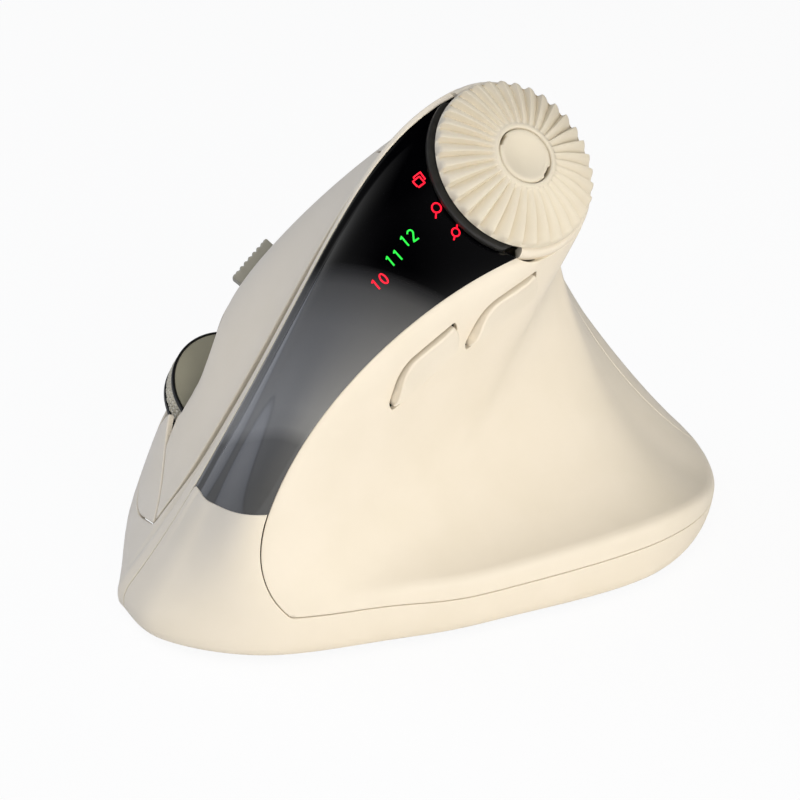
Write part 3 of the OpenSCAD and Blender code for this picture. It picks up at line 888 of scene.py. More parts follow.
class Finishes(Enum):
    """Every finish on the mouse."""

    # Spark-eroded mould: an even, silky cream with a soft broad highlight
    CASING = Finish("moulded_abs_cream_silk", "#E9DFCD", "#E6DCC9", roughness=0.46, grain_mm=0.4,
                    grain_h=0.004)
    # The same cream plastic, tinted darker than the casing as painted shade, and polished a little more by the
    # mould and by fingers
    SHADED_KNOB = Finish("moulded_abs_cream_satin_painted_shade", "#DED5C1", "#D9CFBB", roughness=0.4, grain_mm=0.4,
                  grain_h=0.003)
    # Polished acrylic: mirror gloss, its own deep black round the marks, and below them greys that are a
    # painted reflection of the studio
    GLASS = PaintedReflectionFade("polished_acrylic_painted_reflection", "#020203", "#030304", roughness=0.05, spread=0.01,
                       grain_mm=1.2, grain_h=0.0002, ior=1.49,
                       start=(-19.3, 18.1, 60.6), along=(-0.35, 0.68, -0.65), length=38.0,
                       # From 0.075 on the greys are a painted reflection of a softbox, with a painted darker
                       # corner at the far end
                       reflection_tones=((0.0, "#020203"), (0.035, "#060607"), (0.075, "#2A2A2B"),
                              (0.13, "#484848"), (0.3, "#626262"), (0.66, "#7C7C7B"),
                              (0.74, "#787877"), (0.8, "#565656"), (1.0, "#4E4E4D")))
    # Satin black moulding of the collar, a shade paler than the glass
    COLLAR = Finish("satin_moulded_abs_black", "#242321", "#2B2A27", drift_mm=1.6,
                    roughness=0.34, grain_h=0.004)
    # Moulded rubber: dull and slightly dusty in the grooves
    TYRE = Finish("moulded_rubber_pale_grey", "#CFC9B8", "#C2BCAB", drift_mm=1.5,
                  roughness=0.62, grain_h=0.01)
    # Matt ribbed moulding of the resolution button, greyer than the casing
    RIBBED = Finish("moulded_abs_grey_olive", "#AFAB9D", "#A6A294", drift_mm=2.0,
                    roughness=0.52, grain_h=0.006)
    # Satin moulding of the wheel's disc
    DISC = Finish("moulded_abs_olive_grey", "#96927F", "#8C8876", roughness=0.42, grain_h=0.004)
    # Black rubber rings
    RING = Finish("moulded_rubber_black", "#0C0C0C", "#121212", roughness=0.5, grain_h=0.006)
    # Lit marks, seen through the black print
    RED = Finish("backlit_print_red", "#E8122A", "#E0102A", roughness=0.3, glow=1.1)
    GREEN = Finish("backlit_print_green", "#1FCB3A", "#1CC336", roughness=0.3, glow=1.0)
    # Coarser spark-eroded charcoal of the underside
    BASE = Finish("moulded_abs_charcoal", "#3B3A38", "#42413E", roughness=0.6, grain_mm=0.5, grain_h=0.012)
    # Slippery skived sheet of the feet
    GLIDE = Finish("skived_ptfe_dark", "#1C1C1E", "#242426", drift_mm=4.0, roughness=0.38, grain_h=0.004)
    # Inner parts
    INNER = Finish("moulded_nylon_black", "#1E1E20", "#262628", roughness=0.55)
    BOARD = Finish("solder_mask_green", "#1F5A38", "#276B44", drift_mm=3.0, roughness=0.35, grain_h=0.004)
    STEEL = Finish("turned_steel", "#B4B7BA", "#A5A8AB", drift_mm=2.0, roughness=0.3,
                   grain_h=0.003, metallic=1.0)
    FOIL = Finish("cell_foil_grey", "#9AA0A6", "#8E949A", drift_mm=5.0, roughness=0.4,
                  grain_h=0.01, metallic=0.6)
    CLEAR = Finish("moulded_polycarbonate_clear", "#D9E2E6", "#D2DCE0", roughness=0.08, spread=0.02,
                   grain_h=0.0005, ior=1.58, see_through=0.85)
    SLIDER = Finish("moulded_pom_red", "#B8402F", "#AD3A2A", roughness=0.42, grain_h=0.004)


def dress(obj: bpy.types.Object, finish: Finishes, body: str, replaced: Sequence[str] = ()) -> bpy.types.Object:
    """Gives a piece its finish and its place in the frame.

    Args:
        obj: the piece.
        finish: its finish.
        body: the body that it rides on.
        replaced: frame nodes that it stands for.

    Returns:
        The piece.
    """
    obj.data.materials.clear()
    obj.data.materials.append(finish.value.material())
    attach(obj, body)
    if replaced:
        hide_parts(*replaced)
    LOG.info("%s: %d faces, on %s", obj.name, len(obj.data.polygons), body)
    return obj


# Sub-assemblies


@dataclass
class Casing:
    """The three cream shells and the display glass."""

    step: float = 0.7
    edge: EdgeForm = EdgeForm()
    ridge_lines: tuple[float, ...] = (
        -4.0, -3.2, -2.6, -2.2, -1.9, -1.6, -1.4, -1.2, -1.0, -0.8, -0.6, -0.4, -0.2,
        0.0, 0.2, 0.4, 0.6, 0.8, 1.0, 1.25, 1.5, 1.75, 2.0, 2.25)
    roll_lines: tuple[float, ...] = (0.3, 0.6, 0.9, 1.2, 1.5, 1.9, 2.3, 2.8)
    rows: Array = field(default_factory=lambda: np.concatenate([
        np.linspace(-1, -0.5, 10)[:-1], np.linspace(-0.5, 0.06, 34)[:-1], np.linspace(0.06, 1, 104)]))

    def grid(self, columns: Array) -> Array:
        """Places on every row and column."""
        return lattice(columns, self.rows)

    def lines(self, at: float, offsets: Sequence[float]) -> Array:
        """Places on lines at distances in millimetres from u = at."""
        out = []
        base = np.full(len(self.rows), at)
        for d in offsets:
            step = PROBE if d >= 0 else -PROBE
            start = np.where(base + step < 0, LAST, base)
            out.append(np.stack([start + d / BODY.mm_per_u(start, self.rows, step), self.rows], -1))
        return np.concatenate(out)

    def palm(self, opening: Array) -> bpy.types.Object:
        """The palm and finger shell, round the opening for the finger buttons."""
        v = np.linspace(-1, 1, 300)
        far = LAST + band_u(v)
        outer = traced(BODY, [
            span((U_REAR, -1), (far[0], -1), 400), np.stack([far, v], -1),
            span((far[-1], 1), (U_REAR, 1), 400), span((U_REAR, 1), (U_REAR, -1), 300)], self.step)
        inner = np.concatenate([
            self.grid(np.arange(U_REAR, LAST - 0.16, 0.045)),
            self.lines(LAST, [d for d in self.ridge_lines if d <= 0]),
            self.lines(0.0, [d for d in self.ridge_lines if d > 0]) + np.array([LAST, 0.0])])
        return plate("palm_casing", BODY, [outer, opening], inner, self.edge)

    @staticmethod
    def corner() -> Array:
        """The rounded front corner of the thumb saddle, downwards."""
        a = np.linspace(0, math.pi / 2, 60)
        rise = float(window_foot(np.array(U_THUMB))) - V_SEAM
        return np.stack([U_THUMB + CORNER_U * (1 - np.cos(a)), V_SEAM + rise * (1 - np.sin(a))], -1)

    def thumb(self, slots: Sequence[Array]) -> bpy.types.Object:
        """The thumb saddle with its lip, round the slots of the thumb buttons."""
        bend = self.corner()
        outer = traced(BODY, [
            bend, span(bend[-1], (U_REAR, V_SEAM), 300), span((U_REAR, V_SEAM), (U_REAR, 1), 300),
            span((U_REAR, 1), (U_THUMB, 1), 300), span((U_THUMB, 1), bend[0], 200)], self.step)
        inner = np.concatenate([self.grid(np.arange(U_THUMB + 0.16, U_REAR, 0.04)),
                                self.lines(U_THUMB, self.roll_lines)])
        return plate("thumb_casing", BODY, [outer, *slots], inner, self.edge)

    def skirt(self) -> bpy.types.Object:
        """The lower shell of the thumb side, up to the display at the nose."""
        bend, top = self.corner(), window_line()
        v = np.linspace(top[-1, 1], -1, 120)
        outer = traced(BODY, [
            span((band_u(v[-1:])[0], -1), (U_REAR, -1), 400), span((U_REAR, -1), (U_REAR, V_SEAM)),
            span((U_REAR, V_SEAM), bend[-1], 300), bend[::-1], top, np.stack([band_u(v), v], -1)], self.step)
        inner = self.grid(np.concatenate([np.arange(0.02, U_THUMB, 0.04), np.arange(U_THUMB, U_REAR, 0.04)]))
        return plate("skirt_casing", FRONT, [outer], inner, self.edge)

    def glass(self) -> bpy.types.Object:
        """The black display window, set a little below the shells."""
        foot = window_line()[::-1]
        v = np.linspace(1, foot[0, 1], 200)
        outer = traced(BODY, [
            foot, span(foot[-1], (U_THUMB, 1), 200), span((U_THUMB, 1), (band_u(v[:1])[0], 1), 100),
            np.stack([band_u(v), v], -1)], self.step)
        inner = self.grid(np.arange(0.02, U_THUMB, 0.05))
        form = EdgeForm(radius=0.1, depth=1.4, inset=-0.1, steps=3)
        return plate("display_glass", FRONT, [outer], inner, form, lambda uv: np.full(len(uv), GLASS_LIFT))

    def build(self, opening: Array, slots: Sequence[Array]) -> None:
        """Makes and dresses the shells.

        Args:
            opening: outline of the finger buttons' opening.
            slots: outlines of the thumb buttons' slots.
        """
        dress(self.palm(opening), Finishes.CASING, "shell", ["palm_shell"])
        dress(self.thumb(slots), Finishes.CASING, "shell", ["thumb_shell"])
        dress(self.skirt(), Finishes.CASING, "shell", ["lower_shell"])
        dress(self.glass(), Finishes.GLASS, "shell", ["display_lens"])


@dataclass
class FingerButtons:
    """The two click panels and the resolution button on the finger face."""

    tip: tuple[float, float] = (32.0, 4.0)
    rear: tuple[float, float] = (-36.0, 21.0)
    slot_half: float = 11.4
    slot_w: float = 4.4
    wheel_x: float = 0.0
    res_at: tuple[float, float] = (-17.0, 14.0)
    res_turn: float = -30.0
    res_l: float = 9.0
    res_w: float = 5.4
    res_out: float = 1.9
    scoop_x: tuple[float, ...] = (-21.0, -17.0, -12.0, -8.0, -3.0, 2.0, 8.0, 13.0, 18.0)
    scoop_h: tuple[float, ...] = (0.0, 0.8, 2.4, 3.2, 3.6, 3.5, 2.6, 1.2, 0.0)
    scoop_w: float = 15.0
    tip_in: float = 0.4
    tip_from: float = -16.0
    ribs: int = 7
    rib_h: float = 0.45
    rib_end: float = 0.7
    find: PlanFinder = field(default_factory=lambda: PlanFinder(FINGER, (8.2, 10.99), (0.0, 0.97)))

    @staticmethod
    def upper_side() -> list[Corner]:
        """Outline from the tip along the ridge to the rear."""
        return [(26, 12.1, 0), (18, 20.4, 0), (10, 28.8, 0), (0.9, 38.1, 0), (-7.2, 46, 0), (-13, 51.1, 0),
                (-17, 53.6, 2.5), (-22, 52, 0), (-29, 43.5, 0), (-34.5, 31, 0)]

    @staticmethod
    def lower_side() -> list[Corner]:
        """Outline from the rear along the desk side to the tip."""
        return [(-31.5, 4, 0), (-26, -6.5, 0), (-18, -13.5, 0), (-8, -15, 0), (4, -13.5, 0), (14, -11.5, 0),
                (21, -8.5, 0), (27.5, -5, 0)]

    def split(self, side: float) -> list[Corner]:
        """The line between the panels, from the rear to the tip, round the wheel and the button.

        Args:
            side: 1 for the upper panel's edge and -1 for the lower one's.

        Returns:
            Corner points.
        """
        c, s = turned(self.res_turn)
        half_l, half_w = self.res_l / 2 + MOVE_GAP / 2, self.res_w / 2 + MOVE_GAP / 2
        around = [(-half_l, 0.0), (-half_l, side * half_w), (half_l, side * half_w), (half_l, 0.0)]
        notch = [(self.res_at[0] + a * c - b * s, self.res_at[1] + a * s + b * c, 0.5) for a, b in around]
        x0, x1 = self.wheel_x - self.slot_half, self.wheel_x + self.slot_half
        w = side * self.slot_w
        slot = [(x0, 2.9, 0.5), (x0, w, 0.5), (x1, w, 0.5), (x1, 2.9, 0.5)]
        return [(-28, 19, 0), *notch, (-12.2, 6, 0), *slot]

    def loop(self, points: list[Corner], step: float = 0.5) -> Array:
        """Places on the body's skin for an outline of the finger face."""
        return self.find(traced(FlatSkin(FINGER), softened(points), step))

    def opening(self) -> Array:
        """Outline of the whole opening in the palm shell."""
        return self.loop([(*self.tip, 1.0), *self.upper_side(), (*self.rear, 0), *self.lower_side()])

    def fill(self, points: list[Corner], gap: float = 0.8) -> Array:
        """Places on the body's skin over the plan of an outline."""
        p = np.array([q[:2] for q in points])
        plan = lattice(*(np.arange(low, high, gap) for low, high in zip(p.min(0), p.max(0))))
        return self.find(plan[within(softened(points), plan)])

    def upper(self) -> list[Corner]:
        """Outline of the upper panel, drawn in at the front so that it clears the shell when pressed."""
        ridge_side = []
        for x, y, reach in self.upper_side():
            back = self.tip_in if x > self.tip_from else 0.0
            ridge_side.append((x - back, y - back, reach))
        front = (self.tip[0] - self.tip_in, self.tip[1], 1.0)
        return [front, *ridge_side, (*self.rear, 1.0), *self.split(1.0)]

    def lower(self) -> list[Corner]:
        """Outline of the lower panel."""
        return [(*self.rear, 1.0), *self.lower_side(), (*self.tip, 1.0), *self.split(-1.0)[::-1]]

    def build(self) -> None:
        """Makes and dresses the buttons."""
        edge = EdgeForm(radius=0.3, depth=1.0, inset=MOVE_GAP / 2)
        for name, points, lift in (("left", self.upper(), self.scoop), ("right", self.lower(), None)):
            made = plate(f"{name}_click_panel", BODY, [self.loop(points)], self.fill(points), edge, lift)
            dress(made, Finishes.CASING, f"{name}_button", [f"{name}_button"])
        self.resolution()

    def scoop(self, uv: Array) -> Array:
        """Finger hollow of the upper panel beside the wheel, below 0 in millimetres."""
        p = FINGER.plan(BODY.point(uv))
        deep = np.interp(p[:, 0], self.scoop_x, self.scoop_h)
        return -deep * (1 - ease(self.slot_w, self.slot_w + self.scoop_w, p[:, 1]))

    def resolution(self) -> None:
        """The small ribbed button behind the wheel."""
        c, s = turned(self.res_turn)
        axes = Axes(FINGER.at(np.array([*self.res_at, 0.0])), c * FINGER.x + s * FINGER.y,
                    -s * FINGER.x + c * FINGER.y, FINGER.z)
        half_l, half_w = self.res_l / 2, self.res_w / 2
        finder = PlanFinder(axes, (9.0, 10.9), (0.05, 0.7))
        corners = ((-1, -1), (1, -1), (1, 1), (-1, 1))
        outline = softened([(a * half_l, b * half_w, 0.6) for a, b in corners])
        loop = finder(traced(FlatSkin(axes), outline, 0.25))
        inner = finder(lattice(np.arange(-half_l, half_l, 0.16), np.arange(-half_w, half_w, 0.3)))
        ribbed_l = self.res_l - 2 * self.rib_end
        pitch = ribbed_l / self.ribs

        def lift(uv: Array) -> Array:
            """Ribs across the button's top."""
            along = axes.plan(BODY.point(uv))[:, 0] + half_l - self.rib_end
            wave = np.abs(np.sin(np.pi * along / pitch)) ** 0.7
            ribbed = ease(0, 0.3, along) * (1 - ease(ribbed_l - 0.3, ribbed_l, along))
            return self.res_out - self.rib_h * (1 - wave) * ribbed

        edge = EdgeForm(radius=0.35, depth=3.6, inset=0.0)
        made = plate("resolution_button", BODY, [loop], inner, edge, lift)
        dress(made, Finishes.RIBBED, "res_button", ["res_button"])


@dataclass
class ThumbButtons:
    """The two leaf-shaped thumb buttons and their slots."""

    length: float = 14.6
    width: float = 5.2
    out: float = 1.9
    tip_w: float = 1.5
    bend_l: float = 4.4
    ridge_y: float = -0.35
    ridge_slope: float = 0.05
    ridge_soft: float = 0.05
    upper_fall: float = 0.78
    lower_fall: float = 1.2
    fall: float = 0.62
    crown: float = 0.14
    end_l: float = 3.0
    end_fall: float = 0.5
    names: tuple[str, str] = ("forward", "back")

    def outline(self, grow: float) -> list[Array]:
        """The leaf, with two sharp and two round corners."""
        a, b = self.length / 2 + grow, self.width / 2 + grow
        tip, bend = self.tip_w, self.bend_l
        return softened([(-a, -b, 0.4), (a - bend, -b, 4.0), (a, b - tip, 1.0),
                         (a, b, 0.4), (bend - a, b, 4.0), (-a, tip - b, 1.0)])

    def slots(self) -> list[Array]:
        """Outlines of the two slots in the thumb saddle."""
        return [self.finder(k)(traced(FlatSkin(thumb_axes(k)), self.outline(MOVE_GAP), 0.3)) for k in (0, 1)]

    @staticmethod
    def finder(place: int) -> PlanFinder:
        """Finds places on the saddle under one button's plan."""
        u, v = THUMB_PLACES[place]
        return PlanFinder(thumb_axes(place), (u - 0.33, u + 0.6), (v - 0.16, min(v + 0.16, 0.985)))

    def ridge(self, x: Array, y: Array) -> Array:
        """Height of the soft ridge along a button, just below its middle."""
        across = y - self.ridge_y - self.ridge_slope * x
        drop = np.where(across > 0, self.upper_fall * across, -self.lower_fall * across)
        ends = self.end_fall * (np.clip(np.abs(x) - self.length / 2 + self.end_l, 0, None) / self.end_l) ** 2
        return self.out - self.fall * np.sqrt(drop**2 + self.ridge_soft) - ends + self.crown

    def build(self) -> None:
        """Makes and dresses the buttons."""
        a, b = self.length / 2, self.width / 2
        inner = lattice(np.arange(-a, a, 0.3), np.arange(-b, b, 0.25))
        edge = EdgeForm(radius=0.3, depth=2.4, inset=0.0)
        for k, name in enumerate(self.names):
            axes, find = thumb_axes(k), self.finder(k)

            def lift(uv: Array, axes: Axes = axes) -> Array:
                """Height of the button's face above the saddle."""
                return self.ridge(*axes.plan(BODY.point(uv)).T)

            loop = find(traced(FlatSkin(axes), self.outline(0.0), 0.25))
            made = plate(f"{name}_thumb_button", BODY, [loop], find(inner), edge, lift)
            dress(made, Finishes.CASING, f"{name}_button", [f"{name}_button"])


@dataclass
class Dial:
    """The fluted dial, its push cap and its black collar."""

    flutes: int = 34
    per_flute: int = 18
    rise_share: float = 0.82
    rib_h: float = 1.1
    cap_r: float = 4.3
    hub_w: float = 1.2
    dome_h: float = 3.8
    dome_fall: float = 1.9
    dish_h: float = 0.8
    slit_at: float = 24.0
    slit_in: float = 0.34
    arc_from: float = 20.0
    arc_to: float = 160.0
    arc_ease: float = 14.0

    def wave(self, angle: Array) -> Array:
        """Height of a flute by angle: a slow convex rise and a quick fall."""
        t = np.mod(angle * self.flutes / (2 * math.pi), 1.0)
        top = self.rise_share
        rise = np.sin(np.clip(t / top, 0, 1) * math.pi / 2)
        fall = 0.5 + 0.5 * np.cos(np.clip((t - top) / (1 - top), 0, 1) * math.pi)
        return np.where(t < top, rise, fall)

    def knob(self) -> bpy.types.Object:
        """The fluted knob."""
        cap, top = self.cap_r, self.dome_h
        hub = cap + self.hub_w
        reach = DIAL_R - 0.35 - hub
        dome = [(hub + reach * t, top - self.dome_fall * t**1.9) for t in np.linspace(0, 1, 26)]
        under = [(2.6, 1.2), (2.6, -0.9), (DIAL_R - 1.4, 0.1), (DIAL_R - 0.15, 0.12)]
        side = [(DIAL_R, 0.25), (DIAL_R, 0.6), (DIAL_R - 0.02, 0.9), (DIAL_R - 0.06, 1.3),
                (DIAL_R - 0.14, 1.6)]
        well = [(hub - 0.12, top + 0.16), (cap + 0.62, top + 0.2), (cap + 0.42, top + 0.1),
                (cap + 0.36, top - 0.1), (cap + 0.36, 1.2)]

        def form(r: Array, z: Array, angle: Array) -> tuple[Array, Array]:
            """Cuts the flutes into the dome and the upper rim."""
            depth = 1 - self.wave(angle)
            on_dome = ease(hub - 0.05, hub + 0.7, r) * ease(1.0, 1.5, z)
            grow = 0.42 + 0.58 * ease(hub, DIAL_R - 2, r)
            z = z - self.rib_h * grow * depth * on_dome
            return r - 0.4 * depth * ease(0.55, 1.5, z + 0.4) * ease(DIAL_R - 1.6, DIAL_R - 0.3, r), z

        profile = [*under, *side, *dome[::-1], *well]
        return lathe("dial_knob_fluted", DIAL, profile, self.flutes * self.per_flute, form, 50.0)

    def cap(self) -> bpy.types.Object:
        """The push cap, dished, with two slits at its edge."""
        r, top = self.cap_r + 0.22, self.dome_h + 0.12
        rim = r - 0.75
        dish = [(rim - rim * t, top - self.dish_h * math.sin(t * math.pi / 2))
                for t in np.linspace(0, 0.99, 16)]
        profile = [(0.05, 1.2), (r - 0.2, 1.2), (r, 1.5), (r, top - 0.35), (r - 0.1, top - 0.1),
                   (r - 0.35, top), *dish]

        def form(r_in: Array, z: Array, angle: Array) -> tuple[Array, Array]:
            """Draws the edge in at the two slits."""
            turn = np.mod(np.degrees(angle) - self.slit_at, 180.0)
            slit = ease(-1, 5, turn) * (1 - ease(26, 32, turn))
            return r_in - self.slit_in * slit * ease(r - 1.2, r - 0.4, r_in), z

        return lathe("dial_push_cap", DIAL, profile, 240, form, 50.0)

    def collar(self) -> bpy.types.Object:
        """The black ring below the knob."""
        out, hidden = RIM_R - 0.2, DIAL_R - 0.9
        profile = [(10.2, -5.4), (11.2, -5.4), (11.2, -1.6), (out - 0.2, -1.6), (out, -1.4), (out, -0.75),
                   (out - 0.12, -0.45), (out - 0.4, -0.3), (DIAL_R - 0.6, -0.25), (10.2, -0.3)]

        def form(r: Array, z: Array, angle: Array) -> tuple[Array, Array]:
            """Keeps the flange to the display's arc, below the knob elsewhere."""
            turn, soft = np.degrees(angle), self.arc_ease
            shown = ease(self.arc_from, self.arc_from + soft, turn)
            shown *= 1 - ease(self.arc_to - soft, self.arc_to, turn)
            return np.minimum(r, hidden + shown * (out - hidden)), z

        return lathe("dial_collar", DIAL, profile, 360, form, 60.0)

    def neck(self) -> bpy.types.Object:
        """The cream rim of the shells that carries on to the knob, outside the display's arc."""
        rz = np.array([(15.02, -2.2), (15.0, -1.25), (14.85, -0.8), (14.62, -0.46), (14.38, -0.25),
                       (14.15, -0.17), (DIAL_R - 0.5, -0.17), (DIAL_R - 0.5, -2.2)])
        a = np.radians(np.linspace(self.arc_to + 1, self.arc_from + 359, 220))
        r, z = rz[:, :1], np.repeat(rz[:, 1:], len(a), 1)
        xyz = np.stack([r * np.cos(a), r * np.sin(a), z], -1)
        rows = np.arange(len(rz) * len(a)).reshape(len(rz), len(a))
        faces = []
        for low, high in zip(rows, np.roll(rows, -1, 0)):
            faces += np.stack([low[:-1], low[1:], high[1:], high[:-1]], -1).tolist()
        faces += [rows[:, 0].tolist(), rows[::-1, -1].tolist()]
        return new_object("dial_neck_rim", DIAL.at(xyz.reshape(-1, 3)), faces, sharp=50.0)

    def build(self) -> None:
        """Makes and dresses the dial."""
        # The knob and the cap take the darker cream tint, which is painted shade
        dress(self.knob(), Finishes.SHADED_KNOB, "dial", ["dial_knob"])
        dress(self.cap(), Finishes.SHADED_KNOB, "dial_cap", ["dial_cap"])
        dress(self.collar(), Finishes.COLLAR, "shell", ["dial_bezel"])
        dress(self.neck(), Finishes.CASING, "shell")


@dataclass
class ScrollWheel:
    """The knurled wheel with its side discs and black rings."""

    radius: float = 11.0
    width: float = 6.4
    out: float = 2.5
    place_x: float = 0.0
    tyre_w: float = 4.2
    knurls: int = 36
    knurl_rows: float = 3.5
    knurl_h: float = 0.5

    def axes(self) -> Axes:
        """Frame of the wheel, with z along its axle."""
        centre = FINGER.at(np.array([self.place_x, 0.0, self.out - self.radius]))
        return Axes(centre, FINGER.z, FINGER.x, FINGER.y)

    def tyre(self) -> bpy.types.Object:
        """The tyre with its diamond knurl."""
        half = self.tyre_w / 2
        rows = np.linspace(-half, half, 64)
        crown = [(self.radius - 0.25 * (z / half) ** 2, z) for z in rows]
        inner, side = self.radius - 2.4, self.radius - 0.9
        profile = [(inner, half), (inner, -half), (side, -half), *crown, (side, half)]

        def form(r: Array, z: Array, angle: Array) -> tuple[Array, Array]:
            """Cuts crossed grooves."""
            turn = angle * self.knurls / (2 * math.pi)
            across = z * self.knurl_rows / self.tyre_w
            fa, fb = (np.abs(np.mod(turn + side * across + 0.5, 1) - 0.5) for side in (1, -1))
            groove = 1 - np.clip(np.minimum(fa, fb) / 0.24, 0, 1)
            return r - self.knurl_h * groove * ease(self.radius - 0.6, self.radius - 0.3, r), z

        return lathe("wheel_knurled_tyre", self.axes(), profile, self.knurls * 12, form, 35.0)

    def ring(self) -> list[tuple[float, float]]:
        """Section of one black ring, at the positive side."""
        a, b, r = self.tyre_w / 2 + 0.02, self.width / 2 - 0.02, self.radius - 0.1
        return [(r - 1.2, b - 0.2), (r - 1.2, a), (r - 0.1, a), (r, a + 0.1), (r, b - 0.16),
                (r - 0.06, b - 0.05), (r - 0.16, b), (r - 0.34, b), (r - 0.4, b - 0.05), (r - 0.42, b - 0.2)]

    def disc(self) -> bpy.types.Object:
        """The olive side discs on one hub."""
        r, b = self.radius - 0.56, self.width / 2 - 0.06
        face = [(r - 0.25, b), (r - 0.06, b - 0.06), (r, b - 0.14)]
        step = [(4.4, b - 0.25), (4.7, b)]
        waist = self.radius - 2.45
        under = [(r, -self.tyre_w / 2 - 0.1), (waist, -self.tyre_w / 2 - 0.1)]
        profile = [(1.55, -b + 0.25), *[(q, -z) for q, z in [*step, *face]], *under,
                   *[(q, -z) for q, z in under[::-1]], *face[::-1], *step[::-1], (1.55, b - 0.25)]
        return lathe("wheel_side_disc", self.axes(), profile, 192, None, 30.0)

    def build(self) -> None:
        """Makes and dresses the wheel."""
        dress(self.tyre(), Finishes.TYRE, "wheel", ["wheel_tyre"])
        dress(self.disc(), Finishes.DISC, "wheel", ["wheel_hub"])
        near = self.ring()
        for name, section in (("upper", near), ("lower", [(r, -z) for r, z in near[::-1]])):
            dress(lathe(f"wheel_ring_{name}", self.axes(), section, 192, None, 40.0), Finishes.RING, "wheel")


@dataclass(frozen=True)
class Mark:
    """One lit mark: its name, finish, place on the body's skin and strokes in millimetres."""

    name: str
    finish: Finishes
    place: tuple[float, float]
    strokes: tuple[tuple[Array, bool], ...]


def line(*points: tuple[float, float]) -> tuple[Array, bool]:
    """An open stroke through points."""
    return np.array(points, float), False


def ring(x: float, y: float, wide: float, high: float) -> tuple[Array, bool]:
    """A closed round stroke about a point, by its half width and half height."""
    a = np.linspace(0, 2 * math.pi, 28, endpoint=False)
    return np.stack([x + wide * np.cos(a), y + high * np.sin(a)], -1), True


@dataclass
class DisplayMarks:
    """Generic lit marks in the display: plain numbers and plain signs."""

    stroke: float = 0.26
    above: float = 0.03
    below: float = 0.3
    baseline: tuple[float, float, float] = (-0.2, -0.8, 0.57)
    digit_x: float = 0.75

    @staticmethod
    def one(x: float) -> tuple[Array, bool]:
        """The digit 1 about x."""
        return line((x - 0.32, 0.6), (x + 0.05, 0.95), (x + 0.05, -0.95))

    @staticmethod
    def two(x: float) -> tuple[Array, bool]:
        """The digit 2 about x."""
        top = [(x + 0.46 * math.cos(a), 0.48 + 0.46 * math.sin(a)) for a in np.linspace(2.9, -0.6, 12)]
        return line(*top, (x - 0.46, -0.93), (x + 0.5, -0.93))

    def marks(self) -> list[Mark]:
        """Every mark, from the rim down."""
        d = self.digit_x
        sheet = line((-0.95, -0.8), (0.35, -0.8), (0.35, 0.5), (-0.95, 0.5), (-0.95, -0.65))
        behind = line((-0.5, 0.75), (-0.5, 1.0), (0.85, 1.0), (0.85, -0.35), (0.6, -0.35))
        lens = (ring(0.2, 0.2, 0.75, 0.75), line((-0.4, -0.4), (-1, -1)))
        target = (ring(0, 0, 0.65, 0.65), line((-1.1, -0.75), (-0.55, -0.38)),
                  line((0.55, 0.38), (1.1, 0.75)))
        return [
            Mark("sign_sheets", Finishes.RED, SIGN_PLACES[0], (sheet, behind)),
            Mark("sign_lens", Finishes.RED, SIGN_PLACES[1], lens),
            Mark("sign_target", Finishes.RED, SIGN_PLACES[2], target),
            Mark("number_12", Finishes.GREEN, NUMBER_PLACES[0], (self.one(-d), self.two(d))),
            Mark("number_11", Finishes.GREEN, NUMBER_PLACES[1], (self.one(-d), self.one(d))),
            Mark("number_10", Finishes.RED, NUMBER_PLACES[2], (self.one(-d), ring(d, 0, 0.42, 0.9)))]

    def on_glass(self, place: tuple[float, float], xy: Array, height: float) -> Array:
        """Points on the glass.

        Args:
            place: uv place of the mark's middle.
            xy: places in the mark's own plane, in millimetres.
            height: height above the glass.

        Returns:
            Points in the part's frame.
        """
        at = np.repeat(np.array([place]), len(xy), 0)
        out = FRONT.normal(at)
        level = np.array(self.baseline)
        along = unit(level - (out @ level)[:, None] * out)
        uv = at + FRONT.shift(at, xy[:, :1] * along + xy[:, 1:] * np.cross(out, along))
        return FRONT.point(uv) + (GLASS_LIFT + height) * FRONT.normal(uv)

    def ribbon(self, place: tuple[float, float], points: Array, closed: bool) -> tuple[Array, list]:
        """A closed thin bar along one stroke.

        Args:
            place: uv place of the mark's middle.
            points: the stroke's points.
            closed: whether its end meets its start.

        Returns:
            Points in the part's frame, and faces.
        """
        if closed:
            run = unit(np.roll(points, -1, 0) - np.roll(points, 1, 0))
        else:
            steps = [np.linspace(a, b, max(2, int(np.linalg.norm(b - a) / 0.2)), endpoint=False)
                     for a, b in zip(points[:-1], points[1:])]
            points = np.concatenate([*steps, points[-1:]])
            run = unit(np.gradient(points, axis=0))
        side = np.stack([-run[:, 1], run[:, 0]], -1) * self.stroke / 2
        corners = [(side, -self.below), (-side, -self.below), (-side, self.above), (side, self.above)]
        verts = np.concatenate([self.on_glass(place, points + q, h) for q, h in corners])
        rows = np.arange(len(verts)).reshape(len(corners), len(points))
        faces = []
        for low, high in zip(rows, np.roll(rows, -1, 0)):
            bars = np.stack([low, high, np.roll(high, -1), np.roll(low, -1)], -1).tolist()
            faces += bars if closed else bars[:-1]
        if not closed:
            faces += [rows[::-1, 0].tolist(), rows[:, -1].tolist()]
        return verts, faces

    def build(self) -> None:
        """Makes and dresses the marks."""
        for mark in self.marks():
            verts, faces, start = [], [], 0
            for points, closed in mark.strokes:
                v, f = self.ribbon(mark.place, points, closed)
                verts.append(v)
                faces += [[start + k for k in face] for face in f]
                start += len(v)
            dress(new_object(mark.name, np.concatenate(verts), faces), mark.finish, "shell")


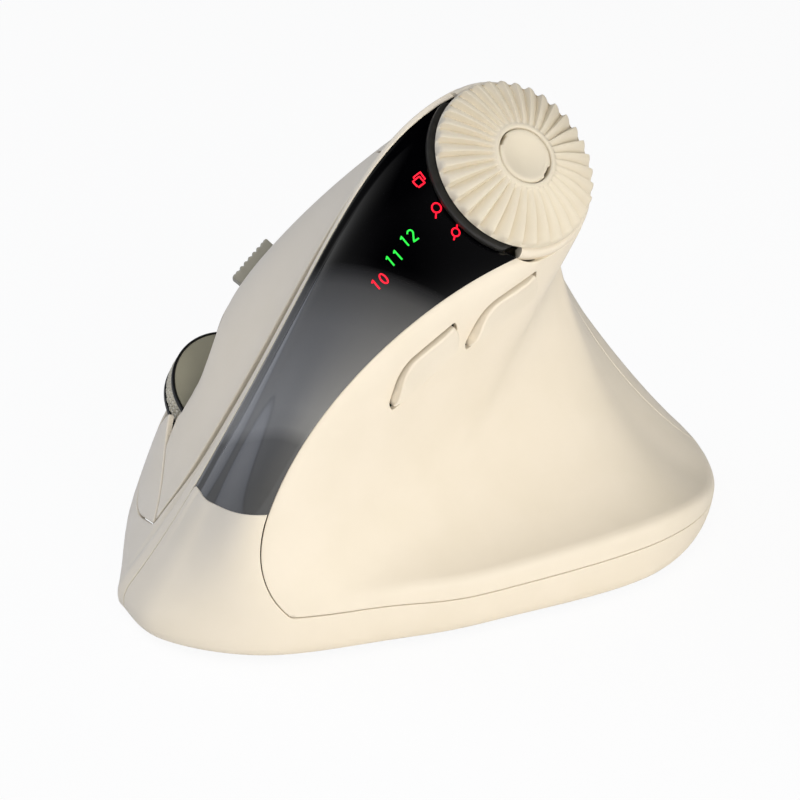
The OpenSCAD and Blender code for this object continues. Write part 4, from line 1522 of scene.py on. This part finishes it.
CARRIED_OVER = {
    Finishes.BASE: ("base_plate",),
    Finishes.GLIDE: ("foot_front", "foot_rear", "foot_left", "foot_right"),
    Finishes.STEEL: ("base_screws", "wheel_axle", "dial_shaft"),
    Finishes.CLEAR: ("sensor_lens",),
    Finishes.SLIDER: ("power_slider",),
    Finishes.BOARD: ("finger_bracket", "thumb_bracket", "main_board"),
    Finishes.FOIL: ("battery",),
    Finishes.INNER: ("display_diffuser", "dial_seat", "dial_encoder", "spine", "wheel_yoke", "wheel_switch",
                     "wheel_encoder", "left_switch", "right_switch", "res_switch", "forward_switch",
                     "back_switch", "sensor_chip", "power_switch"),
}


@dataclass
class FramePieces:
    """The frame's own solids below and inside, which keep their shape and get a finish."""

    nodes: dict[Finishes, tuple[str, ...]] = field(default_factory=lambda: CARRIED_OVER)

    def build(self) -> None:
        """Dresses the solids."""
        for finish, names in self.nodes.items():
            for name in names:
                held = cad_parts[name].data.materials
                held.clear()
                held.append(finish.value.material())


@dataclass(frozen=True)
class SoftBox:
    """A square lamp that faces the mouse, and that the glossy pieces don't mirror.

    Attributes:
        name: the lamp's name.
        place: where it stands, in metres.
        size: its side, in metres.
        watts: its power.
        colour: sRGB hex.
    """

    name: str
    place: tuple[float, float, float]
    size: float
    watts: float
    colour: str = "#FFFFFF"

    def build(self, target: Vector) -> None:
        """Sets the lamp up.

        Args:
            target: what it faces, in metres.
        """
        data = bpy.data.lights.new(self.name, "AREA")
        data.shape, data.size, data.energy = "SQUARE", self.size, self.watts
        data.color = linear(self.colour)[:3]
        obj = bpy.data.objects.new(self.name, data)
        bpy.context.scene.collection.objects.link(obj)
        obj.visible_glossy = False
        aimed(obj, Vector(self.place), target)


def aimed(obj: bpy.types.Object, place: Vector, target: Vector) -> None:
    """Stands a lamp or a camera at a place, facing a target."""
    obj.location = place
    obj.rotation_mode = "QUATERNION"
    obj.rotation_quaternion = (target - place).to_track_quat("-Z", "Y")


def staged(name: str, verts: list, faces: list, material: bpy.types.Material) -> bpy.types.Object:
    """A piece of the stage, in metres."""
    mesh = bpy.data.meshes.new(name)
    mesh.from_pydata(verts, [], faces)
    mesh.materials.append(material)
    obj = bpy.data.objects.new(name, mesh)
    bpy.context.scene.collection.objects.link(obj)
    return obj


@dataclass
class Studio:
    """Floor, lights, world and camera.

    Attributes:
        eye: the camera's place, in millimetres.
        target: what the camera looks at, in millimetres.
        lens: focal length in millimetres.
        middle: what the lamps face, in metres.
        floor_side: half the floor's side, in metres.
        floor_tone: how much light the floor sends back.
        floor_white: share of plain white in the floor that the camera sees.
        room_light: strength of the even light from all round.
        dome_r: radius of the mirrored room, in metres.
        wall_glow: brightness of its walls.
        lamps: the soft boxes.
    """

    eye: tuple[float, float, float] = (-207.2, 146.8, 153.4)
    target: tuple[float, float, float] = (-12.0, 10.1, 32.0)
    lens: float = 72.2
    middle: tuple[float, float, float] = (0.0, 0.0, 0.035)
    floor_side: float = 3.0
    floor_tone: float = 0.86
    floor_white: float = 0.93
    room_light: float = 0.12
    dome_r: float = 2.5
    wall_glow: float = 0.35
    lamps: tuple[SoftBox, ...] = (
        SoftBox("key_softbox", (-1.0, 0.17, 0.2), 0.6, 8.5, "#FFFAF2"),
        SoftBox("top_softbox", (-0.3, 0.35, 1.0), 0.8, 4.1),
        SoftBox("front_softbox", (0.5, 0.48, 0.75), 0.6, 3.7, "#DCE6FF"),
        SoftBox("rear_softbox", (-0.75, -0.5, 0.5), 0.7, 1.2),
    )

    def floor(self) -> None:
        """A plain pale floor that keeps the soft shadow."""
        made = bpy.data.materials.new("studio_paper_white")
        tree = blank_tree(made)
        paper = add_node(tree, "ShaderNodeBsdfDiffuse", {"Color": (*[self.floor_tone] * 3, 1.0)})
        white = add_node(tree, "ShaderNodeEmission", {"Color": (1, 1, 1, 1), "Strength": 1.0})
        path = add_node(tree, "ShaderNodeLightPath")
        seen = add_node(tree, "ShaderNodeMath", {1: self.floor_white}, {0: path.outputs["Is Camera Ray"]},
                        operation="MULTIPLY")
        both = add_node(tree, "ShaderNodeMixShader", None,
                        {0: seen.outputs[0], 1: paper.outputs[0], 2: white.outputs[0]})
        add_node(tree, "ShaderNodeOutputMaterial", None, {"Surface": both.outputs[0]})
        side = self.floor_side
        corners = [(-side, -side, 0), (side, -side, 0), (side, side, 0), (-side, side, 0)]
        staged("studio_floor", corners, [(0, 1, 2, 3)], made)

    def world(self) -> None:
        """An even pale room, white where the camera or a mirror sees it."""
        world = bpy.data.worlds.new("studio_room")
        bpy.context.scene.world = world
        tree = blank_tree(world)
        path = add_node(tree, "ShaderNodeLightPath").outputs
        seen = path["Is Camera Ray"]
        for other in ("Is Glossy Ray", "Is Transmission Ray"):
            either = add_node(tree, "ShaderNodeMath", None, {0: seen, 1: path[other]}, operation="MAXIMUM")
            seen = either.outputs[0]
        light = add_node(tree, "ShaderNodeBackground",
                         {"Color": (0.95, 0.97, 1.0, 1.0), "Strength": self.room_light})
        white = add_node(tree, "ShaderNodeBackground", {"Color": (1, 1, 1, 1), "Strength": 1.0})
        both = add_node(tree, "ShaderNodeMixShader", None,
                        {0: seen, 1: light.outputs[0], 2: white.outputs[0]})
        add_node(tree, "ShaderNodeOutputWorld", None, {"Surface": both.outputs[0]})

    def dome(self) -> None:
        """The room as the glossy pieces mirror it: pale walls below a dark ceiling."""
        made = bpy.data.materials.new("studio_walls_and_ceiling")
        tree = blank_tree(made)
        place = add_node(tree, "ShaderNodeTexCoord").outputs["Object"]
        height = add_node(tree, "ShaderNodeSeparateXYZ", None, {"Vector": place}).outputs["Z"]
        share = add_node(tree, "ShaderNodeMath", {1: self.dome_r}, {0: height}, operation="DIVIDE")
        wall = add_node(tree, "ShaderNodeValToRGB", None, {"Fac": share.outputs[0]})
        ramp = wall.color_ramp.elements
        ramp[0].position, ramp[0].color = 0.1, (1.0, 1.0, 1.0, 1.0)
        ramp[1].position, ramp[1].color = 0.85, (0.0, 0.0, 0.0, 1.0)
        glow = add_node(tree, "ShaderNodeEmission", {"Strength": self.wall_glow},
                        {"Color": wall.outputs["Color"]})
        add_node(tree, "ShaderNodeOutputMaterial", None, {"Surface": glow.outputs[0]})
        a = np.linspace(0, 2 * math.pi, 97)[:-1]
        verts, faces = [], []
        heights = np.sin(np.linspace(0, math.pi / 2 - 0.01, 25))
        for h in heights:
            r = self.dome_r * math.sqrt(1 - h * h)
            verts += [(r * math.cos(t), r * math.sin(t), self.dome_r * h) for t in a]
        rows = np.arange(len(verts)).reshape(len(heights), len(a))
        for low, high in zip(rows[:-1], rows[1:]):
            faces += strip(low, high)
        obj = staged("studio_dome", verts, [*faces, rows[-1].tolist()], made)
        obj.visible_camera = obj.visible_diffuse = obj.visible_shadow = False
        obj.visible_transmission = False

    def camera(self) -> None:
        """The camera at the photograph's viewing angle."""
        data = bpy.data.cameras.new("view")
        data.lens, data.sensor_width = self.lens, 36.0
        data.clip_start, data.clip_end = 0.01, 20.0
        obj = bpy.data.objects.new("view", data)
        bpy.context.scene.collection.objects.link(obj)
        aimed(obj, Vector(self.eye) * MM, Vector(self.target) * MM)
        bpy.context.scene.camera = obj

    def build(self) -> None:
        """Sets the stage."""
        bpy.context.scene.view_settings.view_transform = "Standard"
        self.floor()
        self.world()
        self.dome()
        for lamp in self.lamps:
            lamp.build(Vector(self.middle))
        self.camera()


def main() -> None:
    """Builds every sub-assembly in order."""
    logging.basicConfig(level=logging.INFO, format="%(message)s")
    fingers, thumbs = FingerButtons(), ThumbButtons()
    Casing().build(fingers.opening(), thumbs.slots())
    fingers.build()
    thumbs.build()
    Dial().build()
    ScrollWheel().build()
    DisplayMarks().build()
    FramePieces().build()
    Studio().build()


if __name__ == "__main__":
    main()
